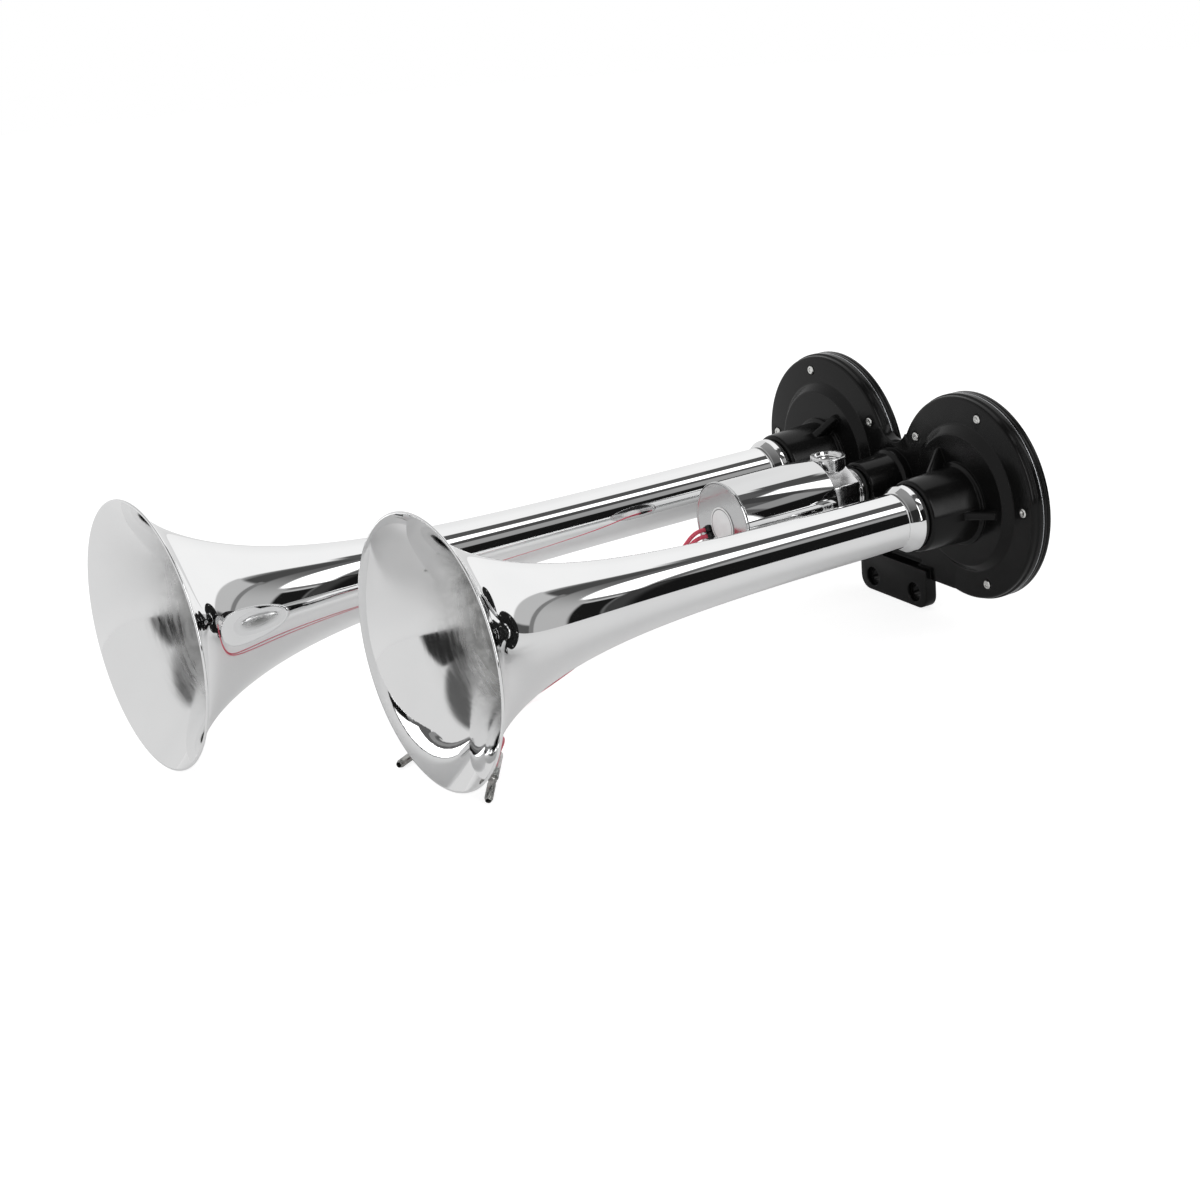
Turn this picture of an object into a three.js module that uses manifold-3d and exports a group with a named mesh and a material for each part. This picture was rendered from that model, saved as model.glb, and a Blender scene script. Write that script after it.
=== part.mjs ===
// Dual trumpet air horn. Two chromed trumpets of different length screw into one moulded
// housing with two diaphragm chambers, and a solenoid valve between them lets the air in.
// Millimetres. X runs across the two trumpets, the trumpets point along -Y, +Z is up and the
// bells and the foot stand on z = 0. Sizes along the horn count from the housing's front face.
import * as THREE from 'three';
import { mergeVertices } from 'three/addons/utils/BufferGeometryUtils.js';
import Module from 'manifold-3d';

const wasm = await Module();
wasm.setup();

// General clearances
const gap = 0.3; // between pieces that touch
const overrun = 1; // a cut runs this far past the face that it opens
const weldDistance = 1e-3;

// Housing: two round chambers side by side
const discRadius = 53;
const discGap = 8; // between the two rims
const flangeThickness = 6;
const shoulderInset = 0.8;
const shoulderWidth = 3.2;
const rimRounding = 1.3;
const rimWidth = 19; // flat rim, from the disc's edge to its raised middle
const plateauHeight = 4;
const slopeWidth = 4;
const frontWall = 3;
const chamberInset = 1.6;
const throatWall = 2.4;
const throatRadius = 7.5;

// Sockets that the trumpets screw into
const axisDrop = 1.8; // the trumpets' axes lie this far below the middle of the discs
const socketReach = 34.8;
const socketRadius = 18.3;
const socketDraft = 1.2;
const socketDepth = 21;
const lipRounding = 2;
const socketRingWidth = 2;
const socketRingHeight = 1.4;
const gussetInset = 4.2; // its foot ends this far inside the raised middle
const gussetHeight = 11.5;
const gussetThickness = 4;
const gussetDegrees = [0, 120, 240]; // on the right disc, mirrored on the left one

// Web between the chambers, with its pocket, air duct and inlet boss
const notchHeight = 18;
const webDrop = 51;
const webHalfWidth = 47; // of its lower edge, inside the discs
const pocketDepth = 3;
const pocketHalfWidth = 21;
const pocketCorner = 5;
const pocketRim = 2.5;
const ductRadius = 2.6;
const ductHeight = 1; // the duct's axis lies this far behind the front face
const ductRibHalf = 5;
const inletReach = 24.6;
const inletRadius = 13.9;
const inletDraft = 0.8;
const inletRingWidth = 1.8;
const inletLipRounding = 1.2;
const inletBoreDepth = 12.6;
const inletDrillRadius = 5;

// Foot
const footHalfWidth = 27.5;
const footFront = 3.2;
const footThickness = 6.8;
const footCorner = 7;
const footLap = 5.5;
const footHoleSpacing = 34.5;
const footHoleRise = 7.8;
const footHoleRadius = 3.4;
const footSinkRadius = 5;
const footSinkDepth = 2.4;

// Stack behind the housing
const gasketInset = 14.4; // from the disc's edge
const gasketWidth = 1.8;
const gasketDepth = 1.6;
const diaphragmThickness = 0.4;
const diaphragmHoleRadius = 3;
const coverThickness = 4.2;
const coverDomeHeight = 4;
const coverWall = 2.4;
const coverRibs = 6;
const coverRibWidth = 2.4;
const coverHubRadius = 12;
const coverPanDepth = 1.8;

// Screws
const screwCount = 5;
const screwInset = 8; // from the disc's edge
const screwRadius = 2.4;
const screwHeadRadius = 4.2;
const screwHeadHeight = 2.6;
const screwProud = 0.8;
const firstScrewDegrees = 3;

// Trumpets
const shortReach = 311;
const longReach = 398.6;
const bellRadius = 65.5;
const beadRadius = 1.5;
const tubeRadius = 13.7;
const trumpetWall = 1.2;
const shortFlareLength = 50;
const longFlareLength = 56;
const bellLength = 70; // from the rim to the brazed joint with the tube
const lipFlare = 5.3;
const lipFlareLength = 8;
const collarRadius = 17;
const collarLip = 1.1;
const collarLength = 8.5;
const collarShoulderShare = 0.4; // of the collar's length, where it is half as wide
const spigotRadius = 12.6;
const spigotWall = 2.6;
const sealThickness = 2;
const sealOverhang = 0.8; // the collar stands this far past the rubber seal

// Valve
const valveDrop = 2.4;
const washerThickness = 1.8;
const nippleCollarRadius = 11.6;
const nippleCollarLength = 8.6;
const nippleRadius = 7.9;
const nippleBoreRadius = 4.5;
const hexAcrossFlats = 35.5;
const hexLength = 15.7;
const portRadius = 9;
const portBoreRadius = 6.6;
const portBoreDepth = 14.4;
const portSetback = 6.3; // the port's axis lies this far ahead of the hexagon's rear face
const valveChamberRadius = 10;
const valveChamberDepth = 9;
const nozzleRadius = 5;
const nozzleHeight = 3;
const orificeRadius = 2.6;

// Solenoid
const canRadius = 21.8;
const canWall = 1.5;
const canLength = 55.9;
const canChamfer = 1;
const canRearPlate = 2;
const capRimOverhang = 0.8;
const capRimThickness = 1.6;
const capSpigotDepth = 2.8;
const bobbinFlange = 1.5;
const bobbinCoreWall = 1.3;
const windingThickness = 9.6;
const tubeBore = 6.4;
const tubeWall = 0.6;
const tubeFlangeWidth = 2.6;
const tubeFlangeThickness = 1.6;
const fixedCoreLength = 20;
const plungerTravel = 2.2;
const sealPadRadius = 4.4;
const sealPadThickness = 1.8;
const sealPadSeat = 1.2; // how deep the pad sits in the plunger
const springWire = 0.35;
const springRadius = 2.1;
const springSeatInPlunger = 6.5;
const springSeatInCore = 4.5;
const springTurns = 6;
const labelRadius = 9.6;
const labelThickness = 0.3;

// Lead grommet, leads and their bullet terminals
const leadRadius = 1.1;
const leadSpread = 1.7; // half the distance between the two leads at the grommet
const grommetRadius = 13.6; // from the valve's axis
const grommetDegrees = 207;
const grommetNeckRadius = 1.9;
const grommetFlangeWidth = 0.9;
const grommetFlangeThickness = 1;
const grommetSnout = 3.4;
const grommetSnoutWall = 0.55;
const bulletRadius = 2;
const bulletLength = 15;
const bulletTipInset = 0.6;
const bulletTipLength = 1.8;
const bulletBoreRadius = 1.2;
const bulletBoreDepth = 7.5;
const bulletGroove = 0.5;
const bulletGrooveWidth = 1.2;
const barrelRadius = 1.75;
const barrelLength = 7;
const sleeveWall = 0.45;
const sleeveLength = 16;

// Facets round each form
const discFacets = 36;
const gasketFacets = 28;
const notchSteps = 10;
const trumpetFacets = 28;
const bossFacets = 20;
const innerFacets = 18;
const screwFacets = 8;
const smallFacets = 12;
const beadSteps = 6;
const bellSteps = 8;
const tubeSteps = 5;
const flareGradingShare = 1.9;
const springStepsPerTurn = 8;
const springFacets = 5;
const leadFacets = 8;
const leadSteps = 48;

// Sizes worked out from the ones above
const axisX = discRadius + discGap / 2;
const plateauRadius = discRadius - rimWidth;
const gussetReach = plateauRadius - gussetInset;
const gasketInnerRadius = discRadius - gasketInset;
const screwCircleRadius = discRadius - screwInset;
const floorDrop = axisDrop + bellRadius;
const coverFront = flangeThickness + diaphragmThickness + 2 * gap;
const coverBack = coverFront + coverThickness;
const domeBack = coverBack + coverDomeHeight;
const collarBack = socketReach + sealThickness + 2 * gap;
const socketBore = spigotRadius + gap;
const socketFloor = socketReach - socketDepth;
const hexBack = inletReach + washerThickness + nippleCollarLength + 2 * gap;
const hexFront = hexBack + hexLength;
const canBack = hexFront + gap;
const canFront = canBack + canLength;
const capFront = canFront + capRimThickness + gap;
const capBack = canFront + gap - capSpigotDepth;
const canInside = canBack + canRearPlate;
const canBore = canRadius - canWall;
const portHeight = canRadius + gap;
const nozzleTip = hexFront - valveChamberDepth + nozzleHeight;
const padFront = nozzleTip + gap + sealPadThickness;
const plungerSeat = padFront + gap; // floor of the pad's recess
const plungerRim = padFront - sealPadSeat;
const plungerRadius = tubeBore - gap;
const coreFront = capBack - gap;
const coreBack = coreFront - fixedCoreLength;
const plungerFront = coreBack - plungerTravel - gap;
const tubeOuter = tubeBore + tubeWall;
const bobbinFront = capBack - gap;
const bobbinBack = canInside + gap;
const bobbinCore = tubeOuter + gap + bobbinCoreWall;

// A closed three.js geometry becomes a welded solid with its faces pointing out.
function solid(geometry) {
  const bare = geometry.clone();
  bare.deleteAttribute('normal');
  bare.deleteAttribute('uv');
  const welded = mergeVertices(bare, weldDistance);
  const corners = welded.getAttribute('position').array;
  const faces = [];
  const index = welded.getIndex().array;
  for (let i = 0; i < index.length; i += 3) {
    const [a, b, c] = [index[i], index[i + 1], index[i + 2]];
    if (a !== b && b !== c && c !== a) faces.push([a, b, c]);
  }
  const at = (k) => new THREE.Vector3().fromArray(corners, 3 * k);
  const volume = faces.reduce((sum, [a, b, c]) => sum + at(a).dot(at(b).cross(at(c))), 0);
  const outward = volume > 0 ? faces : faces.map(([a, b, c]) => [a, c, b]);
  return new wasm.Manifold(new wasm.Mesh({
    numProp: 3,
    vertProperties: new Float32Array(corners),
    triVerts: new Uint32Array(outward.flat()),
  }));
}

// The solid goes back into three.js as a named mesh with flat facets.
function piece(name, body, material) {
  const mesh = body.getMesh();
  const geometry = new THREE.BufferGeometry();
  geometry.setAttribute('position', new THREE.BufferAttribute(mesh.vertProperties, 3));
  geometry.setIndex(new THREE.BufferAttribute(mesh.triVerts, 1));
  const flat = geometry.toNonIndexed();
  flat.computeVertexNormals();
  const result = new THREE.Mesh(flat, material);
  result.name = name;
  return result;
}

// Revolves an outline of [radius, y] points about the Y axis. An outline that is off the
// axis at either end closes on itself.
function revolve(outline, facets = bossFacets) {
  const points = outline.map(([radius, y]) => new THREE.Vector2(radius, y));
  const onAxis = outline[0][0] === 0 && outline[outline.length - 1][0] === 0;
  if (!onAxis) points.push(points[0].clone());
  return solid(new THREE.LatheGeometry(points, facets));
}

// A plain cylinder along Y between two heights.
function rod(radius, from, to, facets = bossFacets) {
  return revolve([[0, from], [radius, from], [radius, to], [0, to]], facets);
}

// A plain ring along Y.
function ring(inner, outer, from, to, facets = bossFacets) {
  return revolve([[inner, from], [outer, from], [outer, to], [inner, to]], facets);
}

// Points of a round corner in an outline, from one angle to another in degrees.
function corner(x, y, radius, fromDegrees, toDegrees, steps = 4) {
  const points = [];
  for (let i = 0; i <= steps; i += 1) {
    const angle = THREE.MathUtils.degToRad(fromDegrees + ((toDegrees - fromDegrees) * i) / steps);
    points.push([x + radius * Math.cos(angle), y + radius * Math.sin(angle)]);
  }
  return points;
}

// A plate with an outline in X and Z, from y = front back to y = front + thickness.
function plate(outline, front, thickness) {
  const shape = new THREE.Shape(outline.map(([x, z]) => new THREE.Vector2(x, z)));
  const geometry = new THREE.ExtrudeGeometry(shape, { depth: thickness, bevelEnabled: false });
  geometry.rotateX(Math.PI / 2);
  geometry.translate(0, front + thickness, 0);
  return solid(geometry);
}

// A place on a circle round the Y axis, at an angle from +X towards +Z.
function around(radius, degrees) {
  const angle = THREE.MathUtils.degToRad(degrees);
  return [radius * Math.cos(angle), radius * Math.sin(angle)];
}

// Angles of the screws of one disc. The two discs mirror each other.
function screwAngles(side) {
  const angles = [];
  for (let i = 0; i < screwCount; i += 1) {
    const degrees = firstScrewDegrees + (360 * i) / screwCount;
    angles.push(side > 0 ? degrees : 180 - degrees);
  }
  return angles;
}

// Copies of a tool at each screw of one disc.
function atScrews(tool, side, centreX) {
  return screwAngles(side).map((degrees) => {
    const [x, z] = around(screwCircleRadius, degrees);
    return tool.translate([centreX + x, 0, z]);
  });
}

function chamberFront() {
  const front = discRadius - shoulderInset;
  return revolve([
    [0, -plateauHeight],
    [plateauRadius, -plateauHeight],
    [plateauRadius + slopeWidth, 0],
    ...corner(front - rimRounding, rimRounding, rimRounding, -90, 0, 2),
    [front, shoulderWidth],
    [discRadius, shoulderWidth + shoulderInset / 2],
    [discRadius, flangeThickness],
    [0, flangeThickness],
  ], discFacets);
}

function chamberHollow() {
  const floor = frontWall - plateauHeight;
  return revolve([
    [0, floor],
    [plateauRadius - chamberInset, floor],
    [plateauRadius + slopeWidth - chamberInset, floor + plateauHeight],
    [plateauRadius + slopeWidth - chamberInset, flangeThickness + overrun],
    [0, flangeThickness + overrun],
  ], discFacets);
}

// The boss that a trumpet screws into, with its round front lip and base ring.
function socketBoss() {
  const base = socketRadius + socketDraft;
  const ringRadius = base + socketRingWidth;
  return revolve([
    [0, -socketReach],
    ...corner(socketRadius - lipRounding, lipRounding - socketReach, lipRounding, -90, 0, 2),
    [base, -plateauHeight - socketRingHeight - gap],
    [ringRadius, -plateauHeight - socketRingHeight],
    [ringRadius, frontWall - plateauHeight],
    [0, frontWall - plateauHeight],
  ], bossFacets);
}

// One triangular rib that stiffens the foot of a socket.
function gusset(degrees) {
  const inner = socketRadius - lipRounding / 2;
  const top = -plateauHeight - gussetHeight;
  const root = frontWall / 2 - plateauHeight;
  const shape = new THREE.Shape([
    new THREE.Vector2(inner, root),
    new THREE.Vector2(inner, top),
    new THREE.Vector2(socketRadius + socketDraft, top),
    new THREE.Vector2(gussetReach, -plateauHeight - socketRingHeight),
    new THREE.Vector2(gussetReach, root),
  ]);
  const geometry = new THREE.ExtrudeGeometry(shape, { depth: gussetThickness, bevelEnabled: false });
  geometry.translate(0, 0, -gussetThickness / 2);
  geometry.rotateY(-THREE.MathUtils.degToRad(degrees));
  return solid(geometry);
}

// The web joins the discs. A round notch runs from rim to rim above, and the foot hangs below.
function web() {
  const notchRadius = (notchHeight ** 2 + axisX ** 2 - discRadius ** 2) / (2 * (discRadius - notchHeight));
  const notchZ = notchHeight + notchRadius;
  const touch = THREE.MathUtils.radToDeg(Math.atan2(notchZ, axisX));
  const notch = corner(0, notchZ, notchRadius, 180 + touch, 360 - touch, notchSteps);
  return plate([
    [-axisX, 0], ...notch, [axisX, 0],
    [webHalfWidth, -webDrop], [-webHalfWidth, -webDrop],
  ], 0, flangeThickness);
}

// The recess in the web's front, bounded by both discs and rounded at its lower corners.
function webPocket() {
  const floor = footLap - webDrop;
  const right = corner(pocketHalfWidth - pocketCorner, floor + pocketCorner, pocketCorner, 0, -90);
  const left = right.map(([x, z]) => [-x, z]).reverse();
  const blank = plate([
    [-pocketHalfWidth, 0], [pocketHalfWidth, 0], ...right, ...left,
  ], -overrun, pocketDepth + overrun);
  const rim = rod(discRadius + pocketRim, -overrun * 2, flangeThickness, discFacets);
  return blank.subtract(rim.translate([axisX, 0, 0])).subtract(rim.translate([-axisX, 0, 0]));
}

function foot() {
  const low = -floorDrop;
  const high = footLap - webDrop;
  const right = corner(footHalfWidth - footCorner, low + footCorner, footCorner, -90, 0, 5);
  const left = right.map(([x, z]) => [-x, z]).reverse();
  const holeZ = low + footHoleRise;
  const hole = rod(footHoleRadius, -footFront - overrun, flangeThickness, smallFacets);
  const sink = rod(footSinkRadius, -footFront - overrun, footSinkDepth - footFront, smallFacets);
  let result = plate([...right, [footHalfWidth, high], [-footHalfWidth, high], ...left],
    -footFront, footThickness);
  for (const x of [-footHoleSpacing / 2, footHoleSpacing / 2]) {
    result = result.subtract(hole.translate([x, 0, holeZ])).subtract(sink.translate([x, 0, holeZ]));
  }
  return result;
}

function inletBoss() {
  const base = inletRadius + inletDraft;
  const round = inletLipRounding;
  return revolve([
    [0, -inletReach],
    ...corner(inletRadius - round, round - inletReach, round, -90, 0, 2),
    [base, -plateauHeight - socketRingHeight],
    [base + inletRingWidth, -plateauHeight],
    [base + inletRingWidth, flangeThickness / 2],
    [0, flangeThickness / 2],
  ]).translate([0, 0, -valveDrop]);
}

// The raised rib that carries the air duct from the inlet to both chambers.
function ductRib() {
  const reach = axisX - plateauRadius - slopeWidth / 2;
  return plate([
    [-reach, -ductRibHalf - valveDrop], [reach, -ductRibHalf - valveDrop],
    [reach, ductRibHalf - valveDrop], [-reach, ductRibHalf - valveDrop],
  ], -plateauHeight, plateauHeight + flangeThickness / 2);
}

function airDuct() {
  const reach = axisX - plateauRadius + chamberInset * 2;
  const duct = rod(ductRadius, -reach, reach, smallFacets).rotate([0, 0, 90]);
  const riser = rod(inletDrillRadius, inletBoreDepth - inletReach - overrun, ductHeight, smallFacets);
  const bore = rod(nippleRadius + gap, -inletReach - overrun, inletBoreDepth - inletReach);
  return duct.translate([0, ductHeight, 0]).add(riser).add(bore).translate([0, 0, -valveDrop]);
}

function housing() {
  let body = web().add(foot()).add(ductRib()).subtract(webPocket()).add(inletBoss());
  for (const side of [-1, 1]) {
    const shift = [side * axisX, 0, -axisDrop];
    const gussets = gussetDegrees.map((degrees) => gusset(side > 0 ? degrees : 180 - degrees));
    const throat = rod(throatRadius + throatWall, -plateauHeight, flangeThickness);
    const groove = ring(gasketInnerRadius - gap / 2, gasketInnerRadius + gasketWidth + gap / 2,
      flangeThickness - gasketDepth, flangeThickness + overrun, gasketFacets);
    const screwHole = rod(screwRadius + gap, -overrun, flangeThickness + overrun, screwFacets);
    body = body.add(chamberFront().translate([side * axisX, 0, 0]));
    body = body.subtract(chamberHollow().translate([side * axisX, 0, 0]));
    body = body.add(socketBoss().translate(shift)).add(throat.translate(shift));
    for (const rib of gussets) body = body.add(rib.translate(shift));
    body = body.subtract(rod(throatRadius, -socketReach, flangeThickness + overrun).translate(shift));
    body = body.subtract(rod(socketBore, -socketReach - overrun, -socketFloor).translate(shift));
    body = body.subtract(groove.translate([side * axisX, 0, 0]));
    for (const hole of atScrews(screwHole, side, side * axisX)) body = body.subtract(hole);
  }
  return body.subtract(airDuct());
}

function gasket() {
  return ring(gasketInnerRadius, gasketInnerRadius + gasketWidth,
    flangeThickness - gasketDepth + gap, flangeThickness, gasketFacets);
}

function diaphragm(side) {
  const front = flangeThickness + gap;
  let disc = rod(discRadius - gap, front, front + diaphragmThickness, discFacets);
  const hole = rod(diaphragmHoleRadius, 0, coverBack, screwFacets);
  for (const cut of atScrews(hole, side, 0)) disc = disc.subtract(cut);
  return disc;
}

// The cover is domed like the front, hollow behind the diaphragm and ribbed on its back.
function cover(side) {
  const round = rimRounding;
  const shell = revolve([
    [0, coverFront + coverThickness / 2],
    [plateauRadius, coverFront + coverThickness / 2],
    [plateauRadius + slopeWidth / 2, coverFront],
    [discRadius, coverFront],
    ...corner(discRadius - round, coverBack - round, round, 0, 90, 1),
    [plateauRadius + slopeWidth, coverBack],
    [plateauRadius, domeBack],
    [plateauRadius - coverWall, domeBack],
    [plateauRadius - coverWall - coverPanDepth / 2, domeBack - coverPanDepth],
    [coverHubRadius, domeBack - coverPanDepth],
    [coverHubRadius - coverPanDepth / 2, domeBack],
    [0, domeBack],
  ], discFacets);
  let body = shell;
  for (let i = 0; i < coverRibs; i += 1) {
    const half = coverRibWidth / 2;
    const rib = plate([
      [coverHubRadius - coverPanDepth, -half], [plateauRadius - coverWall / 2, -half],
      [plateauRadius - coverWall / 2, half], [coverHubRadius - coverPanDepth, half],
    ], domeBack - coverPanDepth - overrun, coverPanDepth + overrun);
    body = body.add(rib.rotate([0, (360 * i) / coverRibs, 0]));
  }
  const hole = rod(screwRadius + gap, 0, domeBack, screwFacets);
  for (const cut of atScrews(hole, side, 0)) body = body.subtract(cut);
  return body;
}

// Pan-head screw, from its head behind the cover to its dimpled end in front of the flange.
function screw() {
  const seat = coverBack + gap;
  const top = seat + screwHeadHeight;
  return revolve([
    [0, screwProud / 2 - screwProud],
    [screwRadius / 2, -screwProud],
    [screwRadius, -screwProud / 2],
    [screwRadius, seat],
    [screwHeadRadius, seat],
    [screwHeadRadius, seat + screwHeadHeight / 2],
    [screwHeadRadius - screwHeadHeight / 2, top],
    [0, top],
  ], screwFacets);
}

// Outer radius of a trumpet at a distance behind its rim, and how steeply it falls there.
function flare(distance, flareLength, mainFlare) {
  const main = mainFlare * Math.exp(-distance / flareLength);
  const lip = lipFlare * Math.exp(-distance / lipFlareLength);
  return { radius: tubeRadius + main + lip, slope: main / flareLength + lip / lipFlareLength };
}

// Outer and inner outlines of a trumpet's wall between two distances behind the rim.
function flaredWall(reach, flareLength, from, to, steps) {
  const mainFlare = bellRadius - beadRadius - tubeRadius - lipFlare;
  const outer = [];
  const inner = [];
  for (let i = 0; i <= steps; i += 1) {
    const distance = from + (to - from) * (i / steps) ** flareGradingShare;
    const { radius, slope } = flare(distance, flareLength, mainFlare);
    outer.push([radius, beadRadius - reach + distance]);
    inner.push([radius - trumpetWall * Math.sqrt(1 + slope ** 2), beadRadius - reach + distance]);
  }
  return [outer, inner.reverse()];
}

// The spun bell, with its rolled rim.
function bell(reach, flareLength) {
  const rim = beadRadius - reach;
  const behindBead = ([, y]) => y > rim + beadRadius;
  const [outer, inner] = flaredWall(reach, flareLength, 0, bellLength, bellSteps);
  return revolve([
    ...corner(bellRadius - beadRadius, rim, beadRadius, -180, 90, beadSteps),
    ...outer.filter(behindBead),
    ...inner.filter(behindBead),
  ], trumpetFacets);
}

// The tube behind the bell.
function tube(reach, flareLength) {
  const length = reach - beadRadius - collarBack - collarLength;
  const [outer, inner] = flaredWall(reach, flareLength, bellLength + gap, length, tubeSteps);
  return revolve([...outer, ...inner], trumpetFacets);
}

// The collar brazed to the tube's end, turned out to a lip, with the threaded spigot behind it.
function collar() {
  const front = gap - collarBack - collarLength;
  const bore = spigotRadius - spigotWall;
  return revolve([
    [tubeRadius, front],
    [(tubeRadius + collarRadius - collarLip) / 2, -collarBack - collarLength * collarShoulderShare],
    [collarRadius, -collarBack - collarLip],
    [collarRadius, -collarBack],
    [spigotRadius, -collarBack],
    [spigotRadius, -socketFloor - gap],
    [bore, -socketFloor - gap],
    [bore, -collarBack - collarLip],
    [tubeRadius - trumpetWall, front],
  ], trumpetFacets);
}

function socketSeal() {
  const front = -socketReach - gap - sealThickness;
  return ring(socketBore, collarRadius - sealOverhang, front, front + sealThickness);
}

// Hexagonal valve block with an edge up, its inlet port on top and its nipple behind.
function valveBody() {
  const hexCorner = hexAcrossFlats / Math.sqrt(3);
  const hexagon = [30, 90, 150, 210, 270, 330].map((degrees) => around(hexCorner, degrees));
  const collarEnd = -inletReach - washerThickness - 2 * gap;
  const chamberFloor = valveChamberDepth - hexFront;
  const portY = -hexBack - portSetback;
  const upright = (tool) => tool.rotate([90, 0, 0]).translate([0, portY, 0]);
  let body = plate(hexagon, -hexFront, hexLength);
  body = body.add(upright(rod(portRadius, 0, portHeight)));
  body = body.add(rod(nippleCollarRadius, -hexBack - overrun, collarEnd));
  body = body.add(rod(nippleRadius, collarEnd - overrun, inletBoreDepth - inletReach - gap));
  body = body.subtract(rod(valveChamberRadius, -hexFront - overrun, chamberFloor));
  body = body.subtract(upright(rod(portBoreRadius, portHeight - portBoreDepth, portHeight + overrun)));
  body = body.add(rod(nozzleRadius, chamberFloor - nozzleHeight, chamberFloor + overrun));
  body = body.subtract(rod(orificeRadius, -nozzleTip - overrun, -hexBack, smallFacets));
  return body.subtract(rod(nippleBoreRadius, -hexBack, 0, smallFacets));
}

function inletWasher() {
  const front = -inletReach - gap - washerThickness;
  return ring(nippleRadius + gap, nippleCollarRadius - gap, front, front + washerThickness);
}

// The can: a drawn cup with a chamfered rear edge, open at the front for the cap.
function can() {
  return revolve([
    [tubeOuter + gap, -canBack],
    [canRadius - canChamfer, -canBack],
    [canRadius, -canBack - canChamfer],
    [canRadius, -canFront],
    [canBore, -canFront],
    [canBore, -canInside],
    [tubeOuter + gap, -canInside],
  ], trumpetFacets);
}

// Where the two leads pass through the cap, on a line that leans with the grommet.
function leadPlaces() {
  const [x, z] = around(grommetRadius, grommetDegrees);
  const [dx, dz] = around(leadSpread, grommetDegrees - 90);
  return [[x + dx, z + dz], [x - dx, z - dz]];
}

function endCap() {
  const rim = canRadius + capRimOverhang;
  const round = capRimThickness / 2;
  let body = revolve([
    [0, -capFront],
    ...corner(rim - round, round - capFront, round, -90, 0, 2),
    [rim, -canFront - gap],
    [canBore - gap, -canFront - gap],
    [canBore - gap, -capBack],
    [0, -capBack],
  ], trumpetFacets);
  const neck = rod(grommetNeckRadius + gap, -capFront - overrun, overrun - capBack, smallFacets);
  const [a, b] = leadPlaces();
  body = body.subtract(neck.translate([a[0], 0, a[1]])).subtract(neck.translate([b[0], 0, b[1]]));
  return body;
}

// Rubber grommet with a snout round each lead.
function grommet() {
  const flangeFront = -capFront - gap - grommetFlangeThickness;
  const flange = rod(grommetNeckRadius + grommetFlangeWidth, flangeFront, -capFront - gap, smallFacets);
  const neck = rod(grommetNeckRadius, flangeFront, -capBack, smallFacets);
  const bore = rod(leadRadius + gap, flangeFront - grommetSnout - overrun, overrun - capBack, smallFacets);
  const snout = rod(leadRadius + gap + grommetSnoutWall, flangeFront - grommetSnout, flangeFront + overrun,
    smallFacets);
  const places = leadPlaces();
  const each = flange.add(neck).add(snout);
  let body = each.translate([places[0][0], 0, places[0][1]]);
  body = body.add(each.translate([places[1][0], 0, places[1][1]]));
  for (const [x, z] of places) body = body.subtract(bore.translate([x, 0, z]));
  return body;
}

function label() {
  return rod(labelRadius, -capFront - gap / 2 - labelThickness, -capFront - gap / 2);
}

function bobbin() {
  const rim = canBore - gap;
  return revolve([
    [tubeOuter + gap, -bobbinFront],
    [rim, -bobbinFront],
    [rim, bobbinFlange - bobbinFront],
    [bobbinCore, bobbinFlange - bobbinFront],
    [bobbinCore, -bobbinBack - bobbinFlange],
    [rim, -bobbinBack - bobbinFlange],
    [rim, -bobbinBack],
    [tubeOuter + gap, -bobbinBack],
  ], innerFacets);
}

function winding() {
  return ring(bobbinCore + gap, bobbinCore + gap + windingThickness,
    bobbinFlange + gap - bobbinFront, -bobbinBack - bobbinFlange - gap, innerFacets);
}

// Guide tube for the plunger. Its flange closes the valve chamber.
function coreTube() {
  const flange = tubeOuter + tubeFlangeWidth;
  return revolve([
    [tubeBore, -bobbinFront],
    [tubeOuter, -bobbinFront],
    [tubeOuter, -hexFront],
    [flange, -hexFront],
    [flange, tubeFlangeThickness - hexFront],
    [tubeBore, tubeFlangeThickness - hexFront],
  ], innerFacets);
}

function fixedCore() {
  return revolve([
    [0, -coreFront],
    [plungerRadius, -coreFront],
    [plungerRadius, -coreBack],
    [springRadius + springWire + gap, -coreBack],
    [springRadius + springWire + gap, -coreBack - springSeatInCore],
    [0, -coreBack - springSeatInCore],
  ], innerFacets);
}

function plunger() {
  const springBore = springRadius + springWire + gap;
  return revolve([
    [0, springSeatInPlunger - plungerFront],
    [springBore, springSeatInPlunger - plungerFront],
    [springBore, -plungerFront],
    [plungerRadius, -plungerFront],
    [plungerRadius, -plungerRim],
    [sealPadRadius + gap, -plungerRim],
    [sealPadRadius + gap, -plungerSeat],
    [0, -plungerSeat],
  ], innerFacets);
}

function sealPad() {
  return rod(sealPadRadius, -padFront, -nozzleTip - gap, smallFacets);
}

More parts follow.
